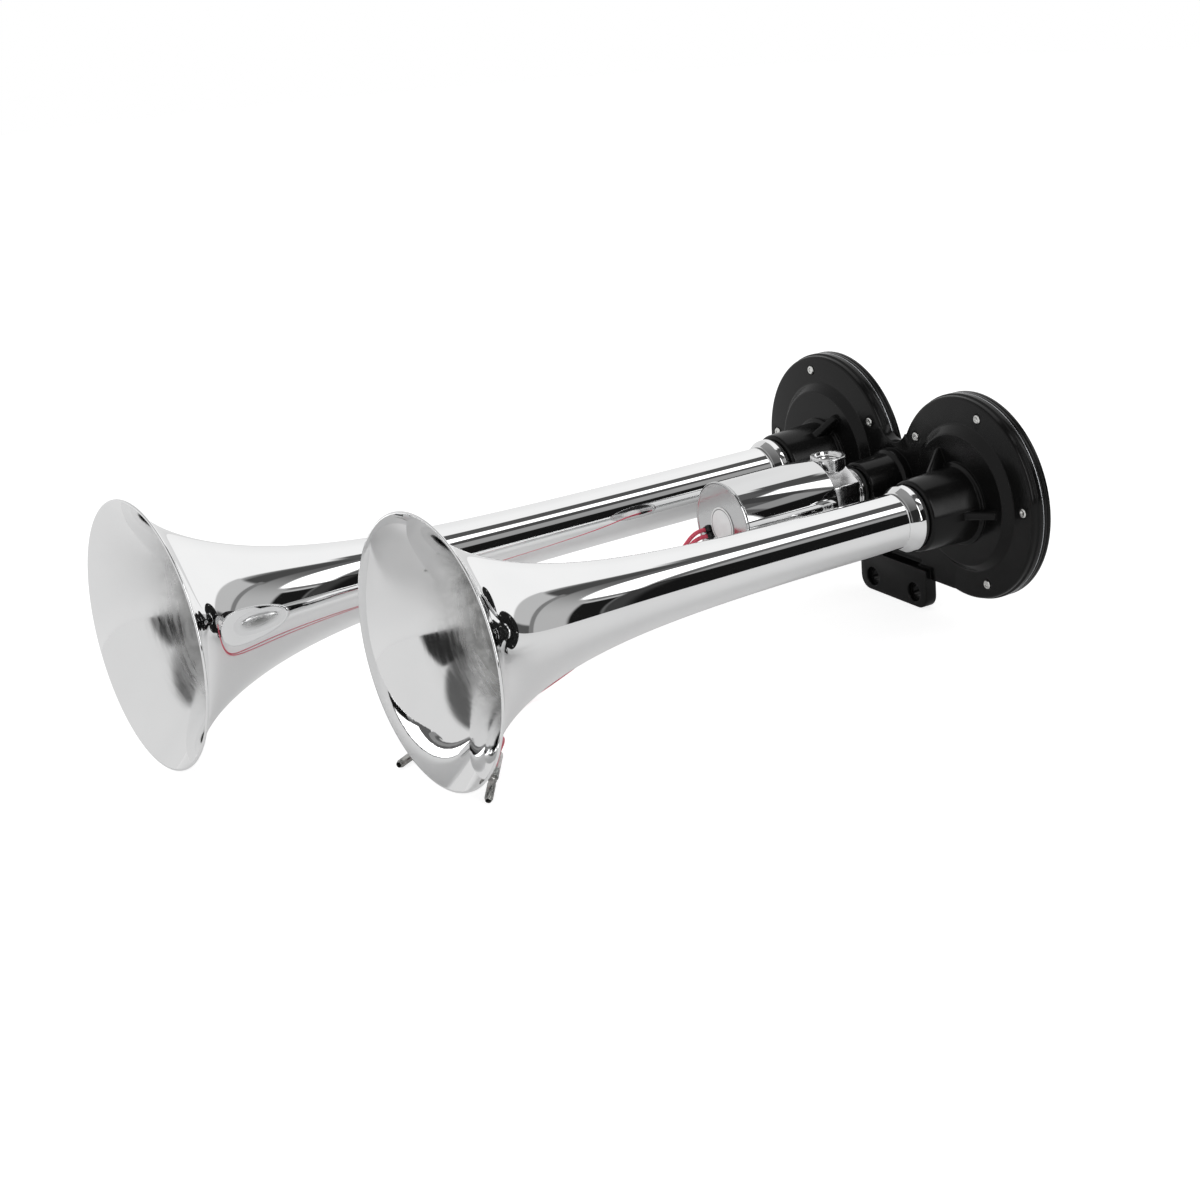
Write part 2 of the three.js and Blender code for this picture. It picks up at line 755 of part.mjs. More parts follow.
// Return spring: one round wire wound on a helix, with flat cut ends.
function returnSpring() {
  const front = -coreBack - springSeatInCore + gap + springWire;
  const back = springSeatInPlunger - plungerFront - gap - springWire;
  const sides = springFacets;
  const steps = springTurns * springStepsPerTurn;
  const corners = [];
  const faces = [];
  for (let i = 0; i <= steps; i += 1) {
    const turn = (2 * Math.PI * i) / springStepsPerTurn;
    const out = new THREE.Vector3(Math.cos(turn), 0, Math.sin(turn));
    const centre = out.clone().multiplyScalar(springRadius).setY(front + ((back - front) * i) / steps);
    for (let k = 0; k < sides; k += 1) {
      const angle = (2 * Math.PI * k) / sides;
      const place = centre.clone().addScaledVector(out, springWire * Math.cos(angle));
      place.y += springWire * Math.sin(angle);
      corners.push(place.x, place.y, place.z);
    }
  }
  for (let i = 0; i < steps; i += 1) {
    for (let k = 0; k < sides; k += 1) {
      const a = i * sides + k;
      const b = i * sides + ((k + 1) % sides);
      faces.push(a, b, a + sides, b, b + sides, a + sides);
    }
  }
  const last = steps * sides;
  for (let k = 1; k < sides - 1; k += 1) {
    faces.push(0, k + 1, k, last, last + k, last + k + 1);
  }
  const geometry = new THREE.BufferGeometry();
  geometry.setAttribute('position', new THREE.Float32BufferAttribute(corners, 3));
  geometry.setIndex(faces);
  return solid(geometry);
}

// The leads' routes, from the grommet along the trumpets and down to the floor by the near
// bell. X, Y and Z from the middle of the housing's front face; each starts in the grommet.
const leadRouteA = [
  [-12.9, -105.4, -7.1], [-12.9, -110, -7.1], [-12.9, -114.4, -7.12], [-12.9, -118.4, -8.4],
  [-12.9, -122.6, -11.6], [-12.85, -127.6, -16.4], [-12.8, -134, -21.4],
  [-12.7, -142, -26.8], [-12.4, -151, -32.2], [-12, -161, -37.8], [-11.6, -172, -43.4],
  [-11.1, -184, -49], [-10.4, -196, -53.9], [-9.4, -208, -58.2], [-8, -220, -61.8],
  [-6.2, -232, -64.4], [-4, -244, -65.7], [-1, -255.5, -66], [2.6, -266, -65.9],
  [6, -275.6, -65.4], [8.6, -283, -64.9], [11, -289, -64.7], [15.2, -296.3, -64.7],
];
const leadRouteB = [
  [-11.3, -105.4, -10.1], [-11.3, -110, -10.1], [-11.3, -115.6, -10.12],
  [-11.3, -119.8, -11.6], [-11.2, -124, -15], [-11.1, -128.6, -19.4], [-11, -134, -24.4],
  [-10.8, -142, -29.8], [-10.4, -151, -35.2], [-9.9, -161, -40.8], [-9.3, -172, -46.4],
  [-8.6, -184, -51.8], [-7.8, -196, -56.4], [-6.8, -208, -60.2], [-5.6, -219, -63.2],
  [-3.6, -230, -65.2], [0, -240.6, -66], [6.2, -250, -66], [14.4, -257.6, -65.6],
  [24, -263.4, -64], [34.6, -267.4, -61.2], [45, -270.4, -57.9], [55.4, -275.8, -55.4],
  [65.2, -284.1, -56.2], [72.5, -290.3, -59.2],
];

function lead(route) {
  const path = new THREE.CatmullRomCurve3(route.map((point) => new THREE.Vector3(...point)));
  const section = new THREE.Shape();
  for (let i = 0; i < leadFacets; i += 1) {
    const [x, y] = around(leadRadius, (360 * i) / leadFacets);
    if (i === 0) section.moveTo(x, y);
    else section.lineTo(x, y);
  }
  section.closePath();
  return solid(new THREE.ExtrudeGeometry(section, { steps: leadSteps, extrudePath: path }));
}

// Bullet terminal along +Y from the end of its lead: crimped barrel, groove and hollow bullet.
function terminal() {
  const neck = barrelLength;
  const tip = barrelLength + bulletLength;
  return revolve([
    [0, 0],
    [barrelRadius, 0],
    [barrelRadius, neck - bulletGrooveWidth],
    [bulletRadius - bulletGroove, neck - bulletGrooveWidth / 2],
    [bulletRadius, neck],
    [bulletRadius, neck + bulletGrooveWidth],
    [bulletRadius - bulletGroove, neck + 2 * bulletGrooveWidth],
    [bulletRadius, neck + 3 * bulletGrooveWidth],
    [bulletRadius, tip - bulletTipLength],
    [bulletRadius - bulletTipInset, tip],
    [bulletBoreRadius, tip],
    [bulletBoreRadius, tip - bulletBoreDepth],
    [0, tip - bulletBoreDepth],
  ], screwFacets);
}

// Clear sleeve pushed back over the barrel and the lead.
function sleeve() {
  const inner = barrelRadius + gap;
  const end = barrelLength - bulletGrooveWidth;
  return ring(inner, inner + sleeveWall, end - sleeveLength, end, screwFacets);
}

// The last stretch of a lead gives the place and direction of what is crimped on it.
function onLeadEnd(object, route) {
  const [before, end] = route.slice(-2).map((point) => new THREE.Vector3(...point));
  const direction = end.clone().sub(before).normalize();
  object.quaternion.setFromUnitVectors(new THREE.Vector3(0, 1, 0), direction);
  object.position.copy(end.addScaledVector(direction, gap));
  return object;
}

function finish(colour, roughness, metalness) {
  return new THREE.MeshStandardMaterial({ color: colour, roughness, metalness });
}

const chrome = () => finish(0xe4e6e8, 0.08, 1);
const blackPlastic = () => finish(0x121213, 0.42, 0);
const blackRubber = () => finish(0x0c0c0d, 0.75, 0);
const steel = () => finish(0xb9bcc0, 0.3, 1);
const nickel = () => finish(0xd2d0ca, 0.25, 1);
const brass = () => finish(0xc9a44c, 0.3, 1);
const copper = () => finish(0xb4622d, 0.35, 1);
const redVinyl = () => finish(0xb3243c, 0.4, 0);
const whiteVinyl = () => finish(0xf1f1ef, 0.45, 0);
const naturalNylon = () => finish(0xd9d2bd, 0.5, 0);
const clearVinyl = () => {
  const material = finish(0xf4f6f5, 0.15, 0);
  material.transparent = true;
  material.opacity = 0.35;
  return material;
};

const horn = new THREE.Group();
horn.position.set(0, (longReach - domeBack) / 2, floorDrop);

horn.add(piece('horn_housing', housing(), blackPlastic()));

for (const [sideName, side] of [['left', -1], ['right', 1]]) {
  const disc = new THREE.Group();
  disc.position.x = side * axisX;
  disc.add(piece(`diaphragm_gasket_${sideName}`, gasket(), blackRubber()));
  disc.add(piece(`diaphragm_${sideName}`, diaphragm(side), steel()));
  disc.add(piece(`rear_cover_${sideName}`, cover(side), blackPlastic()));
  screwAngles(side).forEach((degrees, i) => {
    const mesh = piece(`cover_screw_${sideName}_${i + 1}`, screw(), nickel());
    const [x, z] = around(screwCircleRadius, degrees);
    mesh.position.set(x, 0, z);
    disc.add(mesh);
  });
  horn.add(disc);
}

const trumpets = [
  ['short', 1, shortReach, shortFlareLength],
  ['long', -1, longReach, longFlareLength],
];
for (const [name, side, reach, flareLength] of trumpets) {
  const axis = new THREE.Group();
  axis.position.set(side * axisX, 0, -axisDrop);
  axis.add(piece(`bell_${name}`, bell(reach, flareLength), chrome()));
  axis.add(piece(`tube_${name}`, tube(reach, flareLength), chrome()));
  axis.add(piece(`collar_${name}`, collar(), chrome()));
  axis.add(piece(`socket_seal_${name}`, socketSeal(), blackRubber()));
  horn.add(axis);
}

const valve = new THREE.Group();
valve.position.z = -valveDrop;
valve.add(piece('valve_body', valveBody(), chrome()));
valve.add(piece('inlet_washer', inletWasher(), blackRubber()));
valve.add(piece('solenoid_can', can(), chrome()));
valve.add(piece('solenoid_end_cap', endCap(), chrome()));
valve.add(piece('front_label', label(), whiteVinyl()));
valve.add(piece('coil_bobbin', bobbin(), naturalNylon()));
valve.add(piece('coil_winding', winding(), copper()));
valve.add(piece('plunger_guide_tube', coreTube(), brass()));
valve.add(piece('fixed_core', fixedCore(), steel()));
valve.add(piece('plunger', plunger(), steel()));
valve.add(piece('plunger_seal', sealPad(), blackRubber()));
valve.add(piece('return_spring', returnSpring(), steel()));
valve.add(piece('lead_grommet', grommet(), blackRubber()));
horn.add(valve);

for (const [name, route] of [['a', leadRouteA], ['b', leadRouteB]]) {
  horn.add(piece(`lead_${name}`, lead(route), redVinyl()));
  horn.add(onLeadEnd(piece(`bullet_terminal_${name}`, terminal(), nickel()), route));
  horn.add(onLeadEnd(piece(`clear_sleeve_${name}`, sleeve(), clearVinyl()), route));
}

export default horn;
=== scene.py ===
"""Looks of a dual trumpet air horn: camera, studio, leads, trumpets, housing, valve and finishes."""
import math

import bmesh
import bpy
from mathutils import Matrix, Vector


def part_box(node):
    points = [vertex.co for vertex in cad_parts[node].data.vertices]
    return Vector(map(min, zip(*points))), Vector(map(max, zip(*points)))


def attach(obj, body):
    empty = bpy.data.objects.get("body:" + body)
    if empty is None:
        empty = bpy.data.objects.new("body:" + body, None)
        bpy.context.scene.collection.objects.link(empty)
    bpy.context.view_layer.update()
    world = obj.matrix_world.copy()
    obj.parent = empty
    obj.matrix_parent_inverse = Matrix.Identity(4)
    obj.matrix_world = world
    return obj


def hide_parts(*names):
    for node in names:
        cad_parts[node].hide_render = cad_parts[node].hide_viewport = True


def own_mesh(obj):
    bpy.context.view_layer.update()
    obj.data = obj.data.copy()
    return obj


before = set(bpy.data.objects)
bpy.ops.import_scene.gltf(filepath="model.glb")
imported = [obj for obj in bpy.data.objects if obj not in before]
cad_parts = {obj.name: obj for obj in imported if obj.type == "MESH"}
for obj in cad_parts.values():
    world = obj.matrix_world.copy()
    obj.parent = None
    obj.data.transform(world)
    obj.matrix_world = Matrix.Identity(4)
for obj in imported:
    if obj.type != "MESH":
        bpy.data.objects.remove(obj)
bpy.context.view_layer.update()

# Lengths are millimetres from the middle of the housing's front face, until place() makes them
# metres in the horn's own frame.
MM = 0.001
ORIGIN = Vector((0, 191.7, 67.3))
AXIS_X, AXIS_Z = 57, -1.8               # the trumpets' axes, at both sides of the middle
VALVE_Z = -2.4                          # the axis of valve and solenoid
GAP = 0.3                               # between pieces that touch
SIDES = (("left", -1), ("right", 1))
SHORT_REACH, LONG_REACH = 311, 398.6    # from the housing's face to a bell's rim
SHORT_FLARE, LONG_FLARE = 50, 56        # depth at which a flare has shrunk to 1/e
DISC_RADIUS = 53
SCREWS_PER_SIDE, SCREW_CIRCLE = 5, 45
FIRST_SCREW = 3                         # degrees above the line between the discs
FOOT_HOLES_X, FOOT_HOLES_Z = 17.25, -59.5
LEAD_HOLES = ((-12.9, -7.1), (-11.3, -10.1))    # x and z in the solenoid's cap


def place(point):
    return (Vector(point) + ORIGIN) * MM


def put(obj, slot, *nodes, body="horn"):
    """A finished piece rides on its body and stands for its CAD nodes, which it hides; slot is not used."""
    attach(obj, body)
    if nodes:
        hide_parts(*nodes)
    return obj


# ---------------------------------------------------------------- camera

VIEW_DEGREES = (58.799, 19.411, -4.343)     # azimuth, elevation and roll of the photographed view
VIEW_CENTRE = (-151.03, -92.28, -85.32)     # what stands in the middle of the picture
VIEW_DISTANCE = 1.57894                     # metres
VIEW_LENS = 85.12                           # focal length on a sensor 36 mm wide


def make_camera():
    azimuth, elevation, roll = (math.radians(a) for a in VIEW_DEGREES)
    back = Vector((math.sin(azimuth) * math.cos(elevation),
                   -math.cos(azimuth) * math.cos(elevation), math.sin(elevation)))
    right = Vector((0, 0, 1)).cross(back).normalized()
    up = back.cross(right)
    tilted = right * math.cos(roll) + up * math.sin(roll)
    upright = up * math.cos(roll) - right * math.sin(roll)
    camera = bpy.data.objects.new("camera", bpy.data.cameras.new("camera"))
    bpy.context.scene.collection.objects.link(camera)
    turn = Matrix((tilted, upright, back)).transposed().to_4x4()
    camera.matrix_world = Matrix.Translation(place(VIEW_CENTRE) + back * VIEW_DISTANCE) @ turn
    camera.data.sensor_width = 36
    camera.data.lens = VIEW_LENS
    camera.data.clip_start = 0.05
    camera.data.clip_end = 60
    bpy.context.scene.camera = camera


make_camera()
bpy.context.scene.view_settings.view_transform = "Standard"


# ---------------------------------------------------------------- shader helpers

class Shader:
    """A node tree with short calls for the nodes used here."""

    def __init__(self, tree):
        self.tree = tree
        self.tree.nodes.clear()

    def node(self, kind, **values):
        made = self.tree.nodes.new("ShaderNode" + kind)
        for key, value in values.items():
            setattr(made, key, value)
        return made

    def feed(self, socket, value):
        if isinstance(value, bpy.types.NodeSocket):
            self.tree.links.new(value, socket)
        elif value is not None:
            socket.default_value = value

    def math(self, operation, a, b=None):
        made = self.node("Math", operation=operation)
        for socket, value in zip(made.inputs, (a, b)):
            self.feed(socket, value)
        return made.outputs[0]

    def ramp(self, value, low, high, to_low=0.0, to_high=1.0):
        """A smooth step from low to high."""
        made = self.node("MapRange", interpolation_type="SMOOTHSTEP")
        for name, given in (("Value", value), ("From Min", low), ("From Max", high),
                            ("To Min", to_low), ("To Max", to_high)):
            self.feed(made.inputs[name], given)
        return made.outputs["Result"]

    def blend(self, factor, a, b):
        made = self.node("Mix", data_type="RGBA")
        colours = [s for s in made.inputs if s.type == "RGBA"]
        self.feed(made.inputs[0], factor)
        for socket, value in zip(colours, (a, b)):
            self.feed(socket, value)
        return next(s for s in made.outputs if s.type == "RGBA")

    def noise(self, vector, scale, detail=3.0, rough=0.5):
        made = self.node("TexNoise")
        for name, value in (("Vector", vector), ("Scale", scale),
                            ("Detail", detail), ("Roughness", rough)):
            self.feed(made.inputs[name], value)
        return made.outputs[0]

    def stretched(self, vector, scale):
        """Coordinates scaled by axis, for marks that run one way."""
        made = self.node("Mapping")
        self.feed(made.inputs["Vector"], vector)
        made.inputs["Scale"].default_value = scale
        return made.outputs["Vector"]

    def bump(self, height, strength, distance, normal=None):
        made = self.node("Bump")
        for name, value in (("Height", height), ("Strength", strength),
                            ("Distance", distance), ("Normal", normal)):
            self.feed(made.inputs[name], value)
        return made.outputs["Normal"]


def grey(level):
    return (level, level, level, 1.0)


def new_material(name):
    """A material with its shader helper, its surface shader and the coordinates on the object."""
    material = bpy.data.materials.new(name)
    material.use_nodes = True
    shader = Shader(material.node_tree)
    output = shader.node("OutputMaterial")
    surface = shader.node("BsdfPrincipled")
    shader.feed(output.inputs["Surface"], surface.outputs[0])
    place_of = shader.node("TexCoord").outputs["Object"]
    return material, shader, surface, place_of


# ---------------------------------------------------------------- materials

def chrome(name, low, high, smooth=0.015, rough=0.05):
    """Bright chromium plate over spun metal: nearly a mirror, with faint waves and wipe marks.
    low and high are its tones, smooth and rough the ends of its roughness."""
    material, s, surface, at = new_material(name)
    tone = s.noise(at, 35, 4)
    s.feed(surface.inputs["Base Color"], s.blend(tone, (low, low + 0.005, low + 0.01, 1), grey(high)))
    s.feed(surface.inputs["Metallic"], 1.0)
    wipes = s.noise(s.stretched(at, (1.0, 0.25, 1.0)), 260, 5, 0.6)
    s.feed(surface.inputs["Roughness"], s.ramp(wipes, 0.35, 0.75, smooth, rough))
    waves = s.noise(s.stretched(at, (1.0, 0.3, 1.0)), 28, 1)
    s.feed(surface.inputs["Normal"], s.bump(waves, 0.05, 0.001))
    return material


def bell_inside(name, reach, satin_share):
    """Plate inside the bell whose rim is reach before the housing: a mirror at the lip, satin further in,
    with painted shade that darkens it further in and turns it near black in the throat. Each bell
    has its own, with more or less satin."""
    material, s, surface, at = new_material(name)
    parts = s.node("SeparateXYZ")
    s.feed(parts.inputs[0], at)
    depth = s.math("SUBTRACT", parts.outputs["Y"], (ORIGIN.y - reach) * MM)
    spin = s.noise(s.stretched(at, (1.0, 9.0, 1.0)), 70, 4, 0.6)
    cloud = s.noise(at, 40, 4)
    bright = s.blend(cloud, (0.88, 0.882, 0.885, 1), (0.95, 0.95, 0.95, 1))
    stain = s.ramp(s.noise(at, 150, 5, 0.6), 0.35, 0.65, 0.0, 1.0)
    # Painted shade: a darker tone, stained at random, for the plate further inside the bell.
    stained_shade_tone = s.blend(stain, (0.42, 0.42, 0.415, 1), (0.62, 0.62, 0.615, 1))
    # Painted shade: the colour darkens into that stained tone from 18 mm to 46 mm inside the mouth.
    depth_shade_with_stains = s.blend(s.ramp(depth, 0.018, 0.046), bright, stained_shade_tone)
    # Painted shade: near black in the throat, from 44 mm to 58 mm inside the mouth.
    throat_shade = s.ramp(depth, 0.044, 0.058)
    s.feed(surface.inputs["Base Color"], s.blend(throat_shade, depth_shade_with_stains, (0.06, 0.06, 0.058, 1)))
    s.feed(surface.inputs["Metallic"], 1.0)
    rough = s.math("ADD", s.ramp(depth, 0.003, 0.026, 0.02, 0.08),
                   s.ramp(depth, 0.02, 0.048, 0.0, 0.26))
    satin = s.math("MULTIPLY", rough, s.ramp(spin, 0.3, 0.7, 0.7, 1.3))
    s.feed(surface.inputs["Roughness"], s.math("MULTIPLY", satin, satin_share))
    s.feed(surface.inputs["Normal"], s.bump(spin, 0.03, 0.0003))
    return material


def black_plastic():
    """Moulded black plastic: satin, fine grain, softly rounded edges, a little handling wear."""
    material, s, surface, at = new_material("black_plastic")
    rounded = s.node("Bevel", samples=6)
    rounded.inputs["Radius"].default_value = 0.0006
    dust = s.noise(at, 22, 5, 0.6)
    s.feed(surface.inputs["Base Color"], s.blend(dust, grey(0.002), grey(0.006)))
    patches = s.noise(at, 90, 4, 0.55)
    s.feed(surface.inputs["Roughness"], s.ramp(patches, 0.3, 0.7, 0.15, 0.23))
    s.feed(surface.inputs["Specular IOR Level"], 0.20)
    grain = s.noise(at, 2600, 2)
    s.feed(surface.inputs["Normal"], s.bump(grain, 0.1, 0.0001, rounded.outputs[0]))
    return material


def rubber():
    material, s, surface, at = new_material("rubber")
    bloom = s.noise(at, 120, 4)
    s.feed(surface.inputs["Base Color"], s.blend(bloom, grey(0.006), grey(0.016)))
    s.feed(surface.inputs["Roughness"], s.ramp(bloom, 0.3, 0.7, 0.32, 0.5))
    s.feed(surface.inputs["Normal"], s.bump(s.noise(at, 1800, 2), 0.25, 0.0002))
    return material


def plated(name, dark, light, smooth, rough, grain=420):
    """Plain metal finish with fine machining marks, for the small metal pieces."""
    material, s, surface, at = new_material(name)
    marks = s.noise(at, grain, 4, 0.6)
    s.feed(surface.inputs["Base Color"], s.blend(marks, dark, light))
    s.feed(surface.inputs["Metallic"], 1.0)
    s.feed(surface.inputs["Roughness"], s.ramp(marks, 0.3, 0.7, smooth, rough))
    s.feed(surface.inputs["Normal"], s.bump(marks, 0.1, 0.0002))
    return material


def red_vinyl():
    material, s, surface, at = new_material("red_vinyl")
    dust = s.noise(at, 180, 4)
    s.feed(surface.inputs["Base Color"], s.blend(dust, (0.58, 0.05, 0.09, 1), (0.72, 0.10, 0.16, 1)))
    s.feed(surface.inputs["Roughness"], s.ramp(dust, 0.3, 0.7, 0.28, 0.42))
    s.feed(surface.inputs["Normal"], s.bump(s.noise(at, 700, 2), 0.1, 0.0002))
    return material


def clear_vinyl():
    material, s, surface, at = new_material("clear_vinyl")
    haze = s.noise(at, 300, 3)
    s.feed(surface.inputs["Base Color"], s.blend(haze, (0.86, 0.88, 0.87, 1), (0.96, 0.97, 0.965, 1)))
    s.feed(surface.inputs["Roughness"], s.ramp(haze, 0.3, 0.7, 0.08, 0.18))
    s.feed(surface.inputs["Transmission Weight"], 0.85)
    s.feed(surface.inputs["IOR"], 1.3)
    s.feed(surface.inputs["Normal"], s.bump(haze, 0.15, 0.0003))
    return material


def white_label():
    """Bare white sticker with one thin grey ring near its edge."""
    material, s, surface, at = new_material("white_label")
    parts = s.node("SeparateXYZ")
    s.feed(parts.inputs[0], at)
    height = s.math("SUBTRACT", parts.outputs["Z"], (ORIGIN.z + VALVE_Z) * MM)
    radius = s.math("SQRT", s.math("ADD", s.math("POWER", parts.outputs["X"], 2.0),
                                   s.math("POWER", height, 2.0)))
    ring_radius = 0.0085
    off_ring = s.math("ABSOLUTE", s.math("SUBTRACT", radius, ring_radius))
    printed = s.ramp(off_ring, 0.00015, 0.0003, 1.0, 0.0)
    paper = s.blend(s.noise(at, 300, 4), grey(0.80), grey(0.90))
    s.feed(surface.inputs["Base Color"], s.blend(printed, paper, grey(0.16)))
    s.feed(surface.inputs["Roughness"], s.ramp(s.noise(at, 150, 3), 0.3, 0.7, 0.38, 0.5))
    s.feed(surface.inputs["Normal"], s.bump(s.noise(at, 900, 2), 0.08, 0.0002))
    return material


def nylon():
    material, s, surface, at = new_material("nylon")
    cloud = s.noise(at, 80, 3)
    s.feed(surface.inputs["Base Color"], s.blend(cloud, (0.62, 0.56, 0.42, 1), (0.74, 0.69, 0.56, 1)))
    s.feed(surface.inputs["Roughness"], s.ramp(cloud, 0.3, 0.7, 0.42, 0.55))
    s.feed(surface.inputs["Normal"], s.bump(s.noise(at, 900, 2), 0.1, 0.0002))
    return material


def copper_winding():
    """Enamelled wire wound side by side along the coil."""
    material, s, surface, at = new_material("copper_winding")
    parts = s.node("SeparateXYZ")
    s.feed(parts.inputs[0], at)
    wire_pitch = 0.0006
    turns = s.math("SINE", s.math("MULTIPLY", parts.outputs["Y"], 2 * math.pi / wire_pitch))
    enamel = s.blend(s.noise(at, 200, 3), (0.36, 0.10, 0.03, 1), (0.55, 0.20, 0.07, 1))
    s.feed(surface.inputs["Base Color"], enamel)
    s.feed(surface.inputs["Metallic"], 1.0)
    s.feed(surface.inputs["Roughness"], s.ramp(s.noise(at, 500, 2), 0.3, 0.7, 0.2, 0.32))
    s.feed(surface.inputs["Normal"], s.bump(turns, 0.6, 0.0002))
    return material


CHROME = chrome("chrome", 0.90, 0.955)
CAN_CHROME = chrome("can_chrome", 0.74, 0.79)
# Painted shade: the end cap's plate is set darker than the other chrome. Its higher roughness is its own.
SHADED_CAP_PLATE = chrome("shaded_cap_plate", 0.60, 0.66, 0.10, 0.17)
INSIDE = {
    "short": bell_inside("bell_inside_short", SHORT_REACH, 1.0),
    "long": bell_inside("bell_inside_long", LONG_REACH, 1.7),
}
BLACK = black_plastic()
RUBBER = rubber()
NICKEL = plated("nickel", (0.70, 0.70, 0.68, 1), (0.88, 0.88, 0.86, 1), 0.14, 0.28)
TERMINAL = plated("terminal", (0.30, 0.30, 0.29, 1), (0.50, 0.50, 0.48, 1), 0.2, 0.34)
STEEL = plated("steel", (0.46, 0.47, 0.49, 1), (0.62, 0.63, 0.65, 1), 0.2, 0.36)
BRASS = plated("brass", (0.50, 0.33, 0.11, 1), (0.68, 0.49, 0.20, 1), 0.2, 0.34)
VALVE_METAL = plated("valve_metal", (0.72, 0.72, 0.72, 1), (0.88, 0.88, 0.89, 1), 0.14, 0.22, 300)
RED = red_vinyl()
CLEAR = clear_vinyl()
LABEL = white_label()
NYLON = nylon()
COPPER = copper_winding()


# ---------------------------------------------------------------- mesh helpers

SHARP = math.radians(32)


def finish_mesh(name, mesh, materials):
    """An object in the scene with its normals outwards, smooth but for its sharp edges."""
    shape = bmesh.new()
    shape.from_mesh(mesh)
    bmesh.ops.recalc_face_normals(shape, faces=shape.faces)
    shape.to_mesh(mesh)
    shape.free()
    for material in materials:
        mesh.materials.append(material)
    mesh.shade_smooth()
    mesh.set_sharp_from_angle(angle=SHARP)
    obj = bpy.data.objects.new(name, mesh)
    bpy.context.scene.collection.objects.link(obj)
    return obj


def soften(points, steps=4):
    """Rounds the corners of an outline: a third number at a point is its fillet radius."""
    outline = []
    for i, (radius, y, *fillet) in enumerate(points):
        if not fillet:
            outline.append((radius, y))
            continue
        here = Vector((radius, y))
        before = Vector(points[i - 1][:2]) - here
        after = Vector(points[(i + 1) % len(points)][:2]) - here
        half = before.angle(after) / 2
        cut = min(fillet[0] / math.tan(half), 0.49 * before.length, 0.49 * after.length)
        centre = here + (before.normalized() + after.normalized()).normalized() * cut / math.cos(half)
        start, end = (here + v.normalized() * cut - centre for v in (before, after))
        sweep = start.angle(end)
        for k in range(steps + 1):
            t = k / steps
            spoke = (start * math.sin((1 - t) * sweep) + end * math.sin(t * sweep)) / math.sin(sweep)
            point = centre + spoke
            outline.append(tuple(point))
    return outline


def along(x=0, y=0, z=0):
    """Where a turned shape stands, with its axis along Y."""
    return Matrix.Translation((x, y, z))


def turned(name, outline, where, materials, facets=128, zones=None, ripple=None):
    """Turns (radius, y) points about the Y axis of where. An outline off the axis closes on itself.
    zones gives each ring's material, and ripple(k, i, y) is added to the radius."""
    closed = outline[0][0] > 0 or outline[-1][0] > 0
    verts, rings = [], []
    for k, (radius, y) in enumerate(outline):
        start = len(verts)
        if radius == 0:
            rings.append([start] * facets)
            verts.append(place(where @ Vector((0, y, 0))))
            continue
        rings.append(range(start, start + facets))
        for i in range(facets):
            angle = 2 * math.pi * i / facets
            reach = radius + (ripple(k, i, y) if ripple else 0)
            verts.append(place(where @ Vector((reach * math.cos(angle), y, reach * math.sin(angle)))))
    pairs = list(zip(rings, rings[1:])) + ([(rings[-1], rings[0])] if closed else [])
    faces, kinds = [], []
    for k, (p, q) in enumerate(pairs):
        for i in range(facets):
            j = (i + 1) % facets
            face = tuple(dict.fromkeys((p[i], p[j], q[j], q[i])))
            if len(face) > 2:
                faces.append(face)
                kinds.append(zones[k] if zones else 0)
    mesh = bpy.data.meshes.new(name)
    mesh.from_pydata(verts, [], faces)
    mesh.polygons.foreach_set("material_index", kinds)
    return finish_mesh(name, mesh, materials)


def prism(name, outline, front, back, materials, bevel=0.5, where=None):
    """A plate with an (x, z) outline from y = front to y = back, with softened edges."""
    where = where or Matrix()
    shape = bmesh.new()
    ends = [[shape.verts.new(place(where @ Vector((x, y, z)))) for x, z in outline] for y in (front, back)]
    for end in ends:
        shape.faces.new(end)
    for i in range(len(outline)):
        j = (i + 1) % len(outline)
        shape.faces.new((ends[0][i], ends[0][j], ends[1][j], ends[1][i]))
    bmesh.ops.recalc_face_normals(shape, faces=shape.faces)
    if bevel:
        edges = [e for e in shape.edges if e.calc_face_angle(0) > math.radians(28)]
        bmesh.ops.bevel(shape, geom=edges, offset=bevel * MM, segments=3, profile=0.5, affect="EDGES",
                        clamp_overlap=True)
    mesh = bpy.data.meshes.new(name)
    shape.to_mesh(mesh)
    shape.free()
    return finish_mesh(name, mesh, materials)


def combine(target, operation, *tools):
    """Joins tools to the target or cuts them from it, and removes them."""
    for tool in tools:
        change = target.modifiers.new("combine", "BOOLEAN")
        change.operation, change.solver, change.object = operation, "MANIFOLD", tool
        graph = bpy.context.evaluated_depsgraph_get()
        made = bpy.data.meshes.new_from_object(target.evaluated_get(graph))
        target.modifiers.remove(change)
        old, target.data = target.data, made
        bpy.data.meshes.remove(old)
        bpy.data.objects.remove(tool)
    target.data.shade_smooth()
    target.data.set_sharp_from_angle(angle=SHARP)
    return target


def arc(x, z, radius, start, end, steps=8):
    """Points of an arc between two angles in degrees."""
    angles = [math.radians(start + (end - start) * i / steps) for i in range(steps + 1)]
    return [(x + radius * math.cos(a), z + radius * math.sin(a)) for a in angles]


def cylinder(radius, front, back, where, facets=64):
    return turned("tool", [(0, front), (radius, front), (radius, back), (0, back)], where, (), facets)


# ---------------------------------------------------------------- leads

